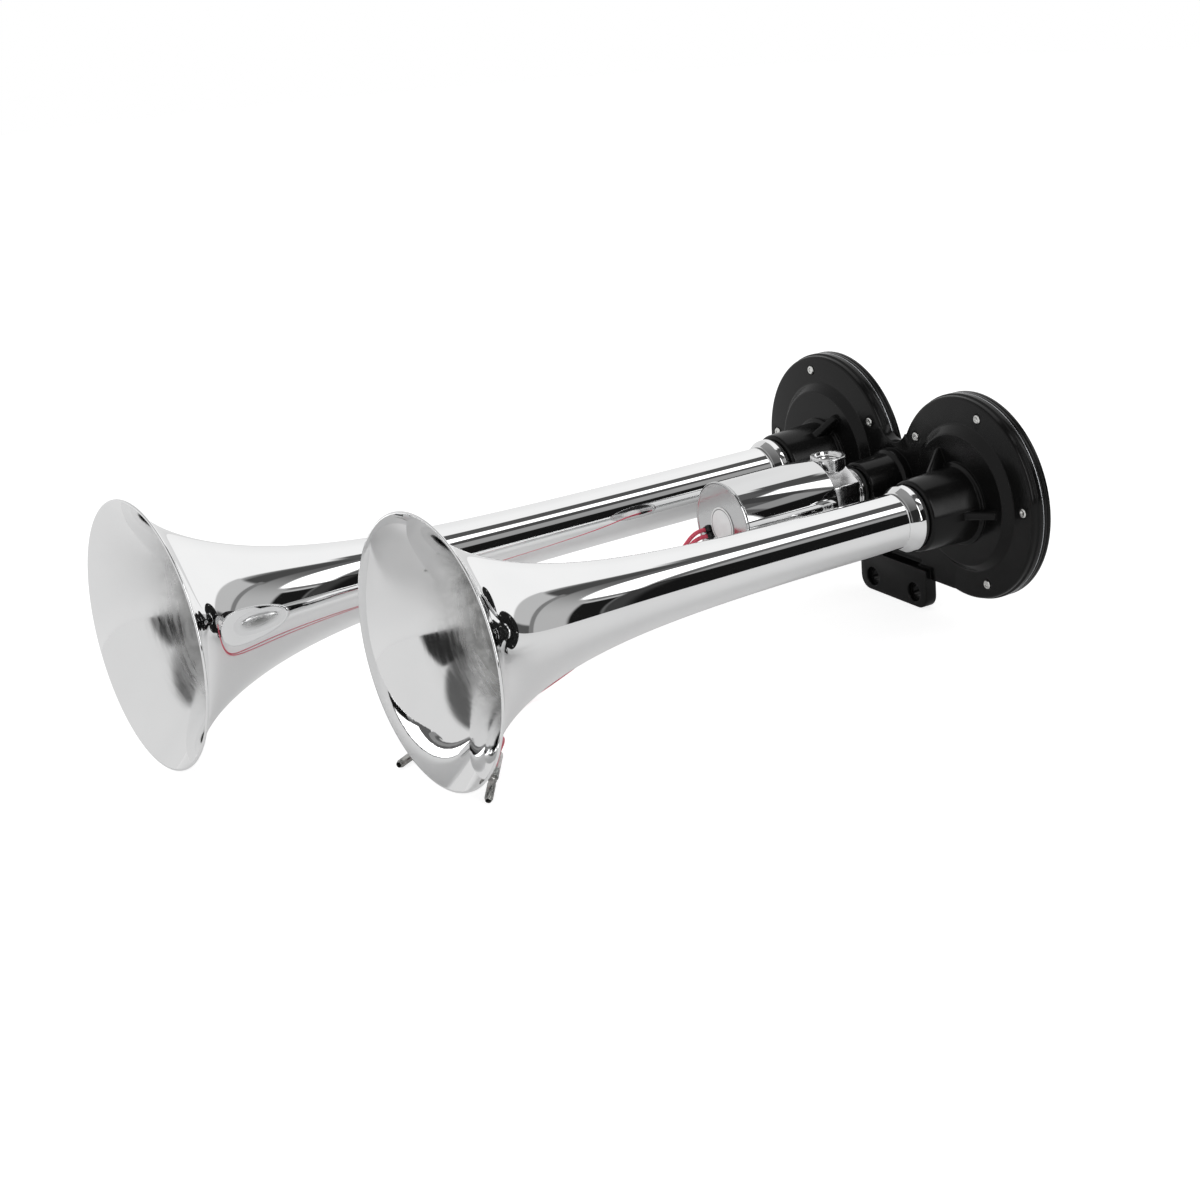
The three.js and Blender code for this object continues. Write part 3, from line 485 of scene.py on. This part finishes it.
# Routes from the grommet, under the trumpets and along the floor to the terminals.
LEADS = {
    "a": ((-12.9, -105.4, -7.1), (-12.9, -110, -7.1), (-12.9, -114.4, -7.12), (-12.9, -118.4, -8.4),
          (-12.9, -122.6, -11.6), (-12.85, -127.6, -16.4), (-12.8, -134, -21.4), (-12.7, -142, -26.8),
          (-12.4, -151, -32.2), (-12, -161, -37.8), (-11.6, -172, -43.4), (-11.1, -184, -49),
          (-10.4, -196, -53.9), (-9.4, -208, -58.2), (-8, -220, -61.8), (-6.2, -232, -64.4),
          (-4, -244, -65.7), (-1, -255.5, -66), (2.6, -266, -65.9), (6, -275.6, -65.4),
          (8.6, -283, -64.9), (11, -289, -64.7), (15.2, -296.3, -64.7)),
    "b": ((-11.3, -105.4, -10.1), (-11.3, -110, -10.1), (-11.3, -115.6, -10.12), (-11.3, -119.8, -11.6),
          (-11.2, -124, -15), (-11.1, -128.6, -19.4), (-11, -134, -24.4), (-10.8, -142, -29.8),
          (-10.4, -151, -35.2), (-9.9, -161, -40.8), (-9.3, -172, -46.4), (-8.6, -184, -51.8),
          (-7.8, -196, -56.4), (-6.8, -208, -60.2), (-5.6, -219, -63.2), (-3.6, -230, -65.2),
          (0, -240.6, -66), (6.2, -250, -66), (14.4, -257.6, -65.6), (24, -263.4, -64),
          (34.6, -267.4, -61.2), (45, -270.4, -57.9), (55.4, -275.8, -55.4), (65.2, -284.1, -56.2),
          (72.5, -290.3, -59.2)),
}


def lead_end(letter):
    """Place and direction of what is crimped on a lead's end, as turned() takes them."""
    before, end = (Vector(p) for p in LEADS[letter][-2:])
    direction = (end - before).normalized()
    turn = Vector((0, 1, 0)).rotation_difference(direction).to_matrix().to_4x4()
    return Matrix.Translation(end + direction * GAP) @ turn


def terminal(letter):
    """Nickel bullet: crimped barrel, neck, groove, and an open rolled tip."""
    crimps, crimp_width, crimp_depth, barrel_end, facets = (1.6, 3.9), 0.45, 0.28, 6, 48

    def pinch(_, i, y):
        near = max(math.exp(-((y - c) / crimp_width) ** 2) for c in crimps)
        oval = 0.6 + 0.4 * math.cos(4 * math.pi * i / facets)
        return -crimp_depth * near * oval if y < barrel_end else 0

    barrel = [(1.75, 0.2 + 5.4 * i / 26) for i in range(27)]
    outline = [(0, 0), (1.5, 0), *barrel, (1.55, 6.3), (1.7, 6.9), (2, 7.2), (2, 8.2), (1.72, 8.6),
               (1.5, 9.2), (1.5, 9.5), (1.72, 10.1), (2, 10.6), (2, 20.2), (1.8, 20.8), (1.57, 21.5),
               (1.42, 21.9), (1.3, 22), (1.2, 21.8), (1.2, 14.5), (0, 14.5)]
    obj = turned(f"bullet_{letter}", outline, lead_end(letter), (TERMINAL,), facets, ripple=pinch)
    return put(obj, "nickel", f"bullet_terminal_{letter}")


def sleeve(letter):
    """Clear vinyl sleeve pushed back over the barrel and the lead."""
    outline = soften([(2.1, -10.2, 0.1), (2.5, -10.2, 0.15), (2.5, 5.8, 0.15), (2.1, 5.8, 0.1)], 3)
    obj = turned(f"vinyl_sleeve_{letter}", outline, lead_end(letter), (CLEAR,), 48)
    return put(obj, "clear_vinyl", f"clear_sleeve_{letter}")


def lead(letter):
    """One lead on its route, with its terminal and sleeve."""
    curve = bpy.data.curves.new(f"wire_{letter}", "CURVE")
    curve.dimensions = "3D"
    spline = curve.splines.new("BEZIER")
    route = LEADS[letter]
    spline.bezier_points.add(len(route) - 1)
    for point, where in zip(spline.bezier_points, route):
        point.co = place(where)
        point.handle_left_type = point.handle_right_type = "AUTO"
    curve.bevel_depth = 0.0011          # half of the lead's diameter
    curve.bevel_resolution = 5
    curve.resolution_u = 8
    curve.use_fill_caps = True
    curve.materials.append(RED)
    obj = bpy.data.objects.new(f"wire_{letter}", curve)
    bpy.context.scene.collection.objects.link(obj)
    put(obj, "red_vinyl", f"lead_{letter}")
    terminal(letter)
    sleeve(letter)


for letter in LEADS:
    lead(letter)


# ---------------------------------------------------------------- trumpets

TUBE_RADIUS, TUBE_END, WALL = 13.7, -45.9, 1.2
BELL_RISE, LIP_RISE, LIP_DEPTH = 45, 5.3, 8     # the flare's two terms: radius gained, depth
LIP_FRONT = 1.5                                 # from a bell's foremost point back to its rim


def trumpet(name, side, reach, flare_length):
    """One smooth shell for bell and tube with a thin rounded lip, the collar brazed to its end and
    the rubber seal between collar and socket."""
    rim = LIP_FRONT - reach
    outer, inner = [], []
    steps, crowding = 96, 1.7           # rings, closer together towards the rim
    # Each surface starts a little before the rim, and push widens it there for the rolled lip.
    for i in range(steps + 1):
        share = (i / steps) ** crowding
        for points, start, push in ((outer, -0.3, 0.67), (inner, -1.4, 0.55)):
            d = start + (TUBE_END - rim - start) * share
            main, lip = BELL_RISE * math.exp(-d / flare_length), LIP_RISE * math.exp(-d / LIP_DEPTH)
            radius = TUBE_RADIUS + main + lip + push * max(0.0, 1 - (d - start) / LIP_DEPTH) ** 2
            if points is inner:
                radius -= WALL * math.sqrt(1 + (main / flare_length + lip / LIP_DEPTH) ** 2)
            points.append((radius, rim + d))
    first, last = Vector(inner[0]), Vector(outer[0])
    middle, half = (first + last) / 2, (last - first) / 2
    across = Vector((half.y, -half.x))
    edge = [tuple(middle - half * math.cos(a) + across * math.sin(a))
            for a in (math.pi * k / 12 for k in range(1, 12))]
    outline = [*edge, *outer, *reversed(inner)]
    first_inner = len(edge) + len(outer) - 1
    zones = [0 if k < first_inner else 1 for k in range(len(outline))]
    stand = along(side * AXIS_X, 0, AXIS_Z)
    obj = turned(f"chromed_trumpet_{name}", outline, stand, (CHROME, INSIDE[name]), 176, zones)
    put(obj, "chrome", f"bell_{name}", f"tube_{name}")
    collar = soften([(13.72, -45.75), (13.95, -45.6), (14.6, -44.2, 2.5), (16.75, -40.6, 1.2),
                     (17, -37.4, 0.5), (12.6, -37.4, 0.2), (12.6, -14.1, 0.3), (10, -14.1, 0.3),
                     (10, -39), (12.45, -45.6)], 5)
    obj = turned(f"chromed_collar_{name}", collar, stand, (CHROME,), 144)
    put(obj, "chrome", f"collar_{name}")
    ring = soften([(12.9, -37.1, 0.2), (16.2, -37.1, 0.5), (16.2, -35.1, 0.5), (12.9, -35.1, 0.2)], 3)
    seal = turned(f"rubber_seal_{name}", ring, stand, (RUBBER,), 96)
    put(seal, "rubber", f"socket_seal_{name}")


trumpet("short", 1, SHORT_REACH, SHORT_FLARE)
trumpet("long", -1, LONG_REACH, LONG_FLARE)


# ---------------------------------------------------------------- housing

def screw_places(side):
    """Number, x and z of each screw of one chamber."""
    for i in range(SCREWS_PER_SIDE):
        degrees = FIRST_SCREW + 360 // SCREWS_PER_SIDE * i
        angle = math.radians(degrees if side > 0 else 180 - degrees)
        yield i + 1, side * AXIS_X + SCREW_CIRCLE * math.cos(angle), SCREW_CIRCLE * math.sin(angle)


def screw_holes(side, radius, front, back):
    return [cylinder(radius, front, back, along(x, 0, z), 32) for _, x, z in screw_places(side)]


def disc_front(side):
    """Front half of a diaphragm chamber: raised middle, flat rim and its bead."""
    outline = soften([(0, -4), (34, -4, 1.6), (38, 0, 1.8), (52.2, 0, 1.4), (52.2, 3.2, 0.3), (53, 3.6, 0.3),
                      (53, 6, 0.25), (0, 6)])
    return turned("disc", outline, along(side * AXIS_X), (BLACK,), 144)


def socket(side):
    """Tapered socket that holds a trumpet's collar."""
    outline = soften([(0, -34.8), (18.3, -34.8, 2), (19.5, -5.8, 0.5), (21.5, -5.4, 0.7),
                      (21.5, -1), (0, -1)])
    return turned("socket", outline, along(side * AXIS_X, 0, AXIS_Z), (BLACK,), 112)


def gusset(side, degrees):
    """Rib at the foot of a socket, an outline in (radius, y) given thickness across."""
    shape = [(17.3, -2.5), (17.3, -15.5), (19.5, -15.5), (29.8, -5.4), (29.8, -2.5)]
    angle = degrees if side > 0 else 180 - degrees
    stand = (along(side * AXIS_X, 0, AXIS_Z) @ Matrix.Rotation(math.radians(-angle), 4, "Y")
             @ Matrix.Rotation(math.radians(-90), 4, "X"))
    return prism("gusset", shape, -2, 2, (BLACK,), 0.95, stand)


def other_side(points):
    """The same outline points on the left, in the order that closes the outline."""
    return [(-x, z) for x, z in reversed(points)]


def housing():
    """Moulded housing: web and chambers, foot, pocket, duct rib, inlet boss, sockets and gussets."""
    saddle = 18                         # lowest point of the notch between the discs
    notch_radius = (saddle ** 2 + AXIS_X ** 2 - DISC_RADIUS ** 2) / (2 * (DISC_RADIUS - saddle))
    notch_z = saddle + notch_radius
    touch = math.degrees(math.atan2(notch_z, AXIS_X))
    notch = arc(0, notch_z, notch_radius, 180 + touch, 360 - touch, 28)
    web = [(-AXIS_X, 0), *notch, (AXIS_X, 0), (47, -51), (-47, -51)]
    body = prism("moulded_housing", web, 0, 6, (BLACK,), 0.5)
    lower = arc(20.5, -60.3, 7, -90, 0, 9)
    foot_outline = [*lower, (27.5, -45.5), (-27.5, -45.5), *other_side(lower)]
    foot = prism("foot", foot_outline, -3.2, 3.6, (BLACK,), 0.5)
    rib = prism("duct_rib", [(-21, -7.4), (21, -7.4), (21, 2.6), (-21, 2.6)], -4, 3, (BLACK,), 0.9)
    boss = soften([(0, -24.6), (13.9, -24.6, 1.2), (14.7, -5.4, 0.5), (16.5, -4, 0.6), (16.5, 3), (0, 3)])
    inlet = turned("inlet", boss, along(0, 0, VALVE_Z), (BLACK,), 96)
    corners = arc(16, -40.5, 5, 0, -90, 6)
    pocket = prism("pocket", [(-21, 0), (21, 0), *corners, *other_side(corners)], -1, 3, (), 0.4)
    discs = [cylinder(DISC_RADIUS + 2.5, -2, 6, along(side * AXIS_X), 128) for _, side in SIDES]
    combine(pocket, "DIFFERENCE", *discs)
    combine(body, "UNION", foot, rib)
    combine(body, "DIFFERENCE", pocket)
    combine(body, "UNION", inlet)
    for _, side in SIDES:
        parts = [disc_front(side), socket(side)] + [gusset(side, degrees) for degrees in (0, 120, 240)]
        combine(body, "UNION", *parts)
        holes = [cylinder(7.5, -34.8, 7, along(side * AXIS_X, 0, AXIS_Z)),
                 cylinder(12.9, -35.8, -13.8, along(side * AXIS_X, 0, AXIS_Z))]
        combine(body, "DIFFERENCE", *holes, *screw_holes(side, 2.7, -1, 7))
    cuts = [cylinder(8.2, -25.6, -12, along(0, 0, VALVE_Z))]
    sink = soften([(0, -5), (5.3, -5), (5.3, -3.2), (5, -2.8), (5, -0.8), (0, -0.8)])
    for x in (-FOOT_HOLES_X, FOOT_HOLES_X):
        stand = along(x, 0, FOOT_HOLES_Z)
        cuts += [cylinder(3.4, -5, 7, stand), turned("sink", sink, stand, (), 64)]
    combine(body, "DIFFERENCE", *cuts)
    return put(body, "black_plastic", "horn_housing")


def rear_cover(name, side):
    """Back cover with stepped rings round its edge and a ribbed pan, and the diaphragm before it."""
    outline = soften([(0, 9.1), (34, 9.1), (36, 7, 0.3), (52.9, 7, 0.25), (52.9, 8.6, 0.2),
                      (52.4, 8.8, 0.1), (52.4, 9.1, 0.1), (52.9, 9.3, 0.2), (52.9, 11.2, 0.6),
                      (38, 11.2, 1), (34, 15.2, 1), (31.6, 15.2, 0.5), (30.7, 13.4, 0.4),
                      (12, 13.4, 0.4), (11.1, 15.2, 0.5), (0, 15.2)])
    cover = turned(f"back_cover_{name}", outline, along(side * AXIS_X), (BLACK,), 180)
    ribs = []
    for i in range(6):
        turn = along(side * AXIS_X) @ Matrix.Rotation(math.radians(60 * i), 4, "Y")
        bar = [(10.4, -1.2), (32, -1.2), (32, 1.2), (10.4, 1.2)]
        ribs.append(prism("rib", bar, 12, 15.2, (BLACK,), 0.4, turn))
    combine(cover, "UNION", *ribs)
    combine(cover, "DIFFERENCE", *screw_holes(side, 2.7, 5, 16))
    put(cover, "black_plastic", f"rear_cover_{name}")
    sheet = soften([(0, 6.3), (52.9, 6.3, 0.1), (52.9, 6.7, 0.1), (0, 6.7)], 2)
    disc = turned(f"steel_diaphragm_{name}", sheet, along(side * AXIS_X), (STEEL,), 180)
    combine(disc, "DIFFERENCE", *screw_holes(side, 3, 5, 8))
    put(disc, "steel", f"diaphragm_{name}")


def screws():
    """Ten nickel pan-head screws: cross recess behind, chamfered and dimpled end in front."""
    outline = soften([(0, -0.25), (0.9, -0.35, 0.2), (1.15, -0.8, 0.15), (1.9, -0.8, 0.2),
                      (2.35, -0.3, 0.2), (2.35, 11.5, 0.1), (4.1, 11.5, 0.3), (4.2, 13, 0.8),
                      (2.8, 14.1, 1.2), (0, 14.1)])
    recess = [(-2.2, -0.45), (2.2, -0.45), (2.2, 0.45), (-2.2, 0.45)]
    first = turned("screw", outline, Matrix.Translation(-ORIGIN), (NICKEL,), 48)
    for degrees in (0, 90):
        turn = Matrix.Translation(-ORIGIN) @ Matrix.Rotation(math.radians(degrees), 4, "Y")
        combine(first, "DIFFERENCE", prism("slot", recess, 12.7, 15, (), 0, turn))
    mesh = first.data
    bpy.data.objects.remove(first)
    for name, side in SIDES:
        for i, x, z in screw_places(side):
            screw = bpy.data.objects.new(f"pan_screw_{name}_{i}", mesh)
            bpy.context.scene.collection.objects.link(screw)
            turn = Matrix.Rotation(0.9 * i + side, 4, "Y")      # no two stand alike
            screw.matrix_world = Matrix.Translation(place((x, 0, z))) @ turn
            put(screw, "nickel", f"cover_screw_{name}_{i}")


housing()
for name, side in SIDES:
    rear_cover(name, side)
screws()


# ---------------------------------------------------------------- valve and solenoid

THREAD_FACETS = 96


def thread(pitch, depth, start, end):
    """Ripple of a screw thread from start to end, one turn per pitch."""
    def wave(_, i, y):
        phase = (y / pitch + i / THREAD_FACETS) % 1
        return depth * abs(2 * phase - 1) if start < y < end else 0
    return wave


def valve():
    """Hexagonal valve block with a threaded port on top, nozzle inside, nut and nipple behind."""
    stand = along(0, 0, VALVE_Z)
    hex_reach, port_y = 20.496, -41.9
    hex_angles = [math.radians(30 + 60 * k) for k in range(6)]
    hexagon = [(hex_reach * math.cos(a), hex_reach * math.sin(a)) for a in hex_angles]
    body = prism("hex_valve_body", hexagon, -51.3, -35.6, (VALVE_METAL,), 0.7, stand)
    upright = along(0, port_y, VALVE_Z) @ Matrix.Rotation(math.radians(90), 4, "X")
    port = turned("port", soften([(0, 5), (9, 5), (9, 22.1, 0.4), (0, 22.1)]), upright, (VALVE_METAL,), 96)
    rows = [(11.1, -36.5 + 8.9 * k / 60) for k in range(61)]
    collar = turned("collar", [(0, -37), (11.1, -37), *rows, (10.4, -27), (0, -27)], stand, (VALVE_METAL,),
                    THREAD_FACETS, ripple=thread(1.5, 0.35, -36.4, -27.7))
    nipple = cylinder(7.9, -28, -12.5, stand, 64)
    combine(body, "UNION", port, collar, nipple)
    bore_rows = [(6.2, 8 + 12.4 * k / 84) for k in range(85)]
    bore_outline = [(0, 7.7), (6, 7.7), *bore_rows, (6.75, 20.7), (7.3, 22.0), (7.3, 23.5), (0, 23.5)]
    bore = turned("bore", bore_outline, upright, (), THREAD_FACETS, ripple=thread(1.34, 0.4, 8, 20.4))
    combine(body, "DIFFERENCE", bore, cylinder(4.5, -35.6, -11, stand), cylinder(2.6, -44, -35, stand),
            cylinder(10, -52.3, -42.3, stand))
    seat = soften([(2.6, -45.3, 0.3), (5, -45.3, 0.5), (5, -41.3), (2.6, -41.3)])
    combine(body, "UNION", turned("nozzle", seat, stand, (VALVE_METAL,), 64))
    put(body, "chrome", "valve_body")
    ring = soften([(8.2, -26.7, 0.2), (11.3, -26.7, 0.5), (11.3, -24.9, 0.5), (8.2, -24.9, 0.2)], 3)
    washer = turned("rubber_washer", ring, stand, (RUBBER,), 96)
    put(washer, "rubber", "inlet_washer")


def solenoid():
    """Can, end cap with its sticker, and the rubber snouts that the leads come out of."""
    stand = along(0, 0, VALVE_Z)
    shell = soften([(7.3, -51.6, 0.2), (20.8, -51.6, 0.3), (21.8, -52.6, 0.35), (21.8, -107.2, 0.3),
                    (20.3, -107.5, 0.3), (20.3, -53.6, 0.4), (7.3, -53.6, 0.2)])
    put(turned("chromed_can", shell, stand, (CAN_CHROME,), 160), "chrome", "solenoid_can")
    lid = soften([(0, -108.9), (21.1, -108.9, 0.35), (21.4, -109.4, 0.3), (22.4, -109.4, 0.5),
                  (22.6, -107.8, 0.4), (20, -107.8), (20, -105, 0.3), (0, -105)])
    cap = turned("chromed_cap", lid, stand, (SHADED_CAP_PLATE,), 160)
    combine(cap, "DIFFERENCE", *[cylinder(2.2, -111, -104, along(x, 0, z), 32) for x, z in LEAD_HOLES])
    put(cap, "chrome", "solenoid_end_cap")
    disc = soften([(0, -109.35), (9.6, -109.35, 0.1), (9.6, -109.05), (0, -109.05)], 2)
    put(turned("round_sticker", disc, stand, (LABEL,), 96), "white_label", "front_label")
    snout = soften([(1.3, -111.4, 0.15), (1.55, -111.4, 0.15), (1.75, -110.1, 0.3), (2.1, -109.9, 0.15),
                    (2.1, -109.6, 0.1), (1.9, -109.5), (1.9, -105), (1.3, -105)], 3)
    snouts = [turned("lead_snouts", snout, along(x, 0, z), (RUBBER,), 48) for x, z in LEAD_HOLES]
    put(combine(snouts[0], "UNION", snouts[1]), "rubber", "lead_grommet")


def return_coil():
    """Wound steel wire, built at its rest length; nothing here shortens it as the plunger slides in."""
    low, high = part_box("return_spring")
    wire, radius, turns, per_turn, facets = 0.35, 2.1, 6, 32, 12
    front, back = low.y * 1000 - ORIGIN.y + wire, high.y * 1000 - ORIGIN.y - wire
    steps = turns * per_turn
    verts, faces = [], []
    for i in range(steps + 1):
        turn = 2 * math.pi * i / per_turn
        y = front + (back - front) * i / steps
        for k in range(facets):
            angle = 2 * math.pi * k / facets
            reach = radius + wire * math.cos(angle)
            verts.append(place((reach * math.cos(turn), y + wire * math.sin(angle),
                                VALVE_Z + reach * math.sin(turn))))
    for start in range(0, steps * facets, facets):
        for k in range(facets):
            j = (k + 1) % facets
            faces.append((start + k, start + j, start + facets + j, start + facets + k))
    faces += [tuple(range(facets)), tuple(range(steps * facets, (steps + 1) * facets))]
    mesh = bpy.data.meshes.new("return_coil")
    mesh.from_pydata(verts, [], faces)
    coil = put(finish_mesh("return_coil", mesh, (STEEL,)), "steel", "return_spring")
    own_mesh(coil)


valve()
solenoid()
return_coil()

# The solids that stay get their finishes here.
FINISHES = {
    "diaphragm_gasket_left": RUBBER, "diaphragm_gasket_right": RUBBER, "coil_bobbin": NYLON,
    "coil_winding": COPPER, "plunger_guide_tube": BRASS, "fixed_core": STEEL, "plunger": STEEL,
    "plunger_seal": RUBBER,
}
for node, material in FINISHES.items():
    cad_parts[node].data.materials.clear()
    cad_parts[node].data.materials.append(material)


# ---------------------------------------------------------------- studio

PLAIN_LIGHT = 0.8       # strength of the world for diffuse surfaces
OPEN_STUDIO = 0.72      # what gloss sees where no panel stands


def studio_world():
    """Plain even light for diffuse surfaces. Gloss and clear vinyl see the studio: a white cove, a
    grey room and a dark one, and two softboxes."""
    world = bpy.data.worlds.new("studio")
    bpy.context.scene.world = world
    world.use_nodes = True
    s = Shader(world.node_tree)
    output = s.node("OutputWorld")
    parts = s.node("SeparateXYZ")
    s.feed(parts.inputs[0], s.node("TexCoord").outputs["Generated"])
    x, y, z = parts.outputs
    degrees = 180 / math.pi
    az = s.math("MULTIPLY", s.math("ARCTAN2", y, x), degrees)
    el = s.math("MULTIPLY", s.math("ARCSINE", z), degrees)

    def window(low_az, high_az, low_el, high_el, soft=1.5, lean=0.0):
        """1 inside a window of directions, which may lean over by so many degrees for each one up."""
        across = az
        if lean:
            across = s.math("SUBTRACT", az, s.math("MULTIPLY", s.math("SUBTRACT", el, low_el), lean))
        sides = [s.ramp(across, low_az - soft, low_az + soft),
                 s.ramp(across, high_az - soft, high_az + soft, 1.0, 0.0),
                 s.ramp(el, low_el - soft, low_el + soft),
                 s.ramp(el, high_el - soft, high_el + soft, 1.0, 0.0)]
        product = sides[0]
        for side in sides[1:]:
            product = s.math("MULTIPLY", product, side)
        return product

    # The front wall is measured by how steeply a direction rises for what it goes ahead.
    ahead = s.math("ADD", s.math("MULTIPLY", x, -0.208), s.math("MULTIPLY", y, -0.978))
    rise = s.math("DIVIDE", z, s.math("MAXIMUM", ahead, 0.05))
    front = s.ramp(az, 0, -20)
    wall = s.ramp(el, 12, 46, 0.46, 0.12)
    # Each layer is a mask and the brightness seen there, and covers those above it.
    layers = (
        (s.ramp(az, 70, 90), s.ramp(az, 128, 180, 0.94, 0.72)),     # white cove
        (s.math("MULTIPLY", s.ramp(rise, 1.5, 1.75), front), 0.11),  # top edge of the front wall
        (s.math("MULTIPLY", s.ramp(rise, 2.4, 4.0), front), 0.28),  # ceiling over it
        (window(-18, 88, 22, 95, 2), 0.12),             # ceiling of the room
        (window(60, 91, -8, 52, 1.5), wall),            # grey wall
        (window(79.5, 92, -8, 30, 1), 0.50),            # wall beside the cove
        (window(76, 88, 30, 54, 1.5), 0.065),           # gap over it
        (window(72, 99, 52, 62.5, 1.5), 0.085),         # top edge of the cove
        (window(79, 90, -8, 3.5, 1), 0.09),             # dark foot of that wall
        (window(76.6, 79.4, -8, 32, 0.5), 0.2),         # edge of that wall
        (window(40, 56, 41, 60, 1.2), 0.065),           # dark gap beside the far softbox
        (window(31, 46.5, 29, 42, 1.0), 0.33),          # lit strip over the dark room
        (window(-22, -11, -8, 62, 2), 0.15),            # grey strip beside the camera
        (window(-12, 50, -8, 28.5, 1.0), 0.008),        # dark room
        (window(-2, 25.5, 2, 52, 1.2), 3.0),            # near softbox
        (window(-41, -21, -8, 37, 1.6, -0.07), 0.022),  # behind the camera
        (window(45, 50, -8, 27, 1.5), 0.045),           # stand in the dark room
        (window(50, 60.5, -8, 20.5, 1), 0.010),         # door
        (window(49.5, 64, 26, 56.5, 1.5, 0.17), 2.2),   # far softbox
    )
    level = OPEN_STUDIO
    for mask, value in layers:
        made = s.node("Mix", data_type="FLOAT")
        s.feed(made.inputs[0], mask)
        s.feed(made.inputs[2], level)
        s.feed(made.inputs[3], value)
        level = made.outputs[0]
    path = s.node("LightPath")
    mirrored = s.math("ADD", path.outputs["Is Glossy Ray"], path.outputs["Is Transmission Ray"])
    seen = path.outputs["Is Camera Ray"]
    level = s.math("ADD", s.math("MULTIPLY", level, mirrored), seen)
    others = s.math("SUBTRACT", 1.0, s.math("MINIMUM", s.math("ADD", mirrored, seen), 1.0))
    level = s.math("ADD", level, s.math("MULTIPLY", others, PLAIN_LIGHT))
    room = s.node("Background")
    room.inputs["Color"].default_value = grey(1)
    s.feed(room.inputs["Strength"], level)
    s.feed(output.inputs["Surface"], room.outputs[0])


FLOOR_RADIUS, FLOOR_DROP = 1.9, 0.0002
FLOOR_GLOW, CAMERA_GLOW = 0.12, 0.70            # floor's own white, and what the camera sees on top
FLOOR_IN_MIRRORS, FLOOR_TO_CAMERA = 0.64, 0.42  # the part of it that takes light and shadow


def floor():
    """Pale table with the horn's soft shadow. The camera sees it white, gloss and glass see it pale."""
    material = bpy.data.materials.new("floor")
    material.use_nodes = True
    s = Shader(material.node_tree)
    output = s.node("OutputMaterial")
    at = s.node("TexCoord").outputs["Object"]
    pale = s.blend(s.noise(at, 3, 3), grey(0.80), grey(0.84))
    plain = s.node("BsdfDiffuse")
    s.feed(plain.inputs["Color"], pale)
    path = s.node("LightPath")
    camera = path.outputs["Is Camera Ray"]
    glow = s.node("Emission")
    s.feed(glow.inputs["Strength"], s.math("ADD", FLOOR_GLOW, s.math("MULTIPLY", camera, CAMERA_GLOW)))
    weak = s.node("BsdfDiffuse")
    s.feed(weak.inputs["Color"], s.blend(camera, grey(FLOOR_IN_MIRRORS), grey(FLOOR_TO_CAMERA)))
    both = s.node("AddShader")
    s.feed(both.inputs[0], glow.outputs[0])
    s.feed(both.inputs[1], weak.outputs[0])
    mirrored = s.math("ADD", path.outputs["Is Glossy Ray"], path.outputs["Is Transmission Ray"])
    seen = s.math("ADD", camera, mirrored)
    choice = s.node("MixShader")
    s.feed(choice.inputs[0], s.math("MINIMUM", seen, 1.0))
    s.feed(choice.inputs[1], plain.outputs[0])
    s.feed(choice.inputs[2], both.outputs[0])
    s.feed(output.inputs["Surface"], choice.outputs[0])
    shape = bmesh.new()
    bmesh.ops.create_circle(shape, cap_ends=True, segments=96, radius=FLOOR_RADIUS)
    mesh = bpy.data.meshes.new("floor")
    shape.to_mesh(mesh)
    shape.free()
    mesh.materials.append(material)
    obj = bpy.data.objects.new("floor", mesh)
    bpy.context.scene.collection.objects.link(obj)
    obj.location.z = -FLOOR_DROP


def softbox(name, where, target, size, power):
    """Round area lamp that lights diffuse surfaces and doesn't show in gloss."""
    light = bpy.data.lights.new(name, "AREA")
    light.shape, light.size, light.energy = "DISK", size, power
    obj = bpy.data.objects.new(name, light)
    bpy.context.scene.collection.objects.link(obj)
    obj.location = where
    obj.rotation_mode = "QUATERNION"
    obj.rotation_quaternion = (Vector(target) - Vector(where)).to_track_quat("-Z", "Y")
    obj.visible_glossy = False


studio_world()
floor()
softbox("key", (-1.2, -1.3, 1.9), (0, 0, 0.05), 1.4, 14)
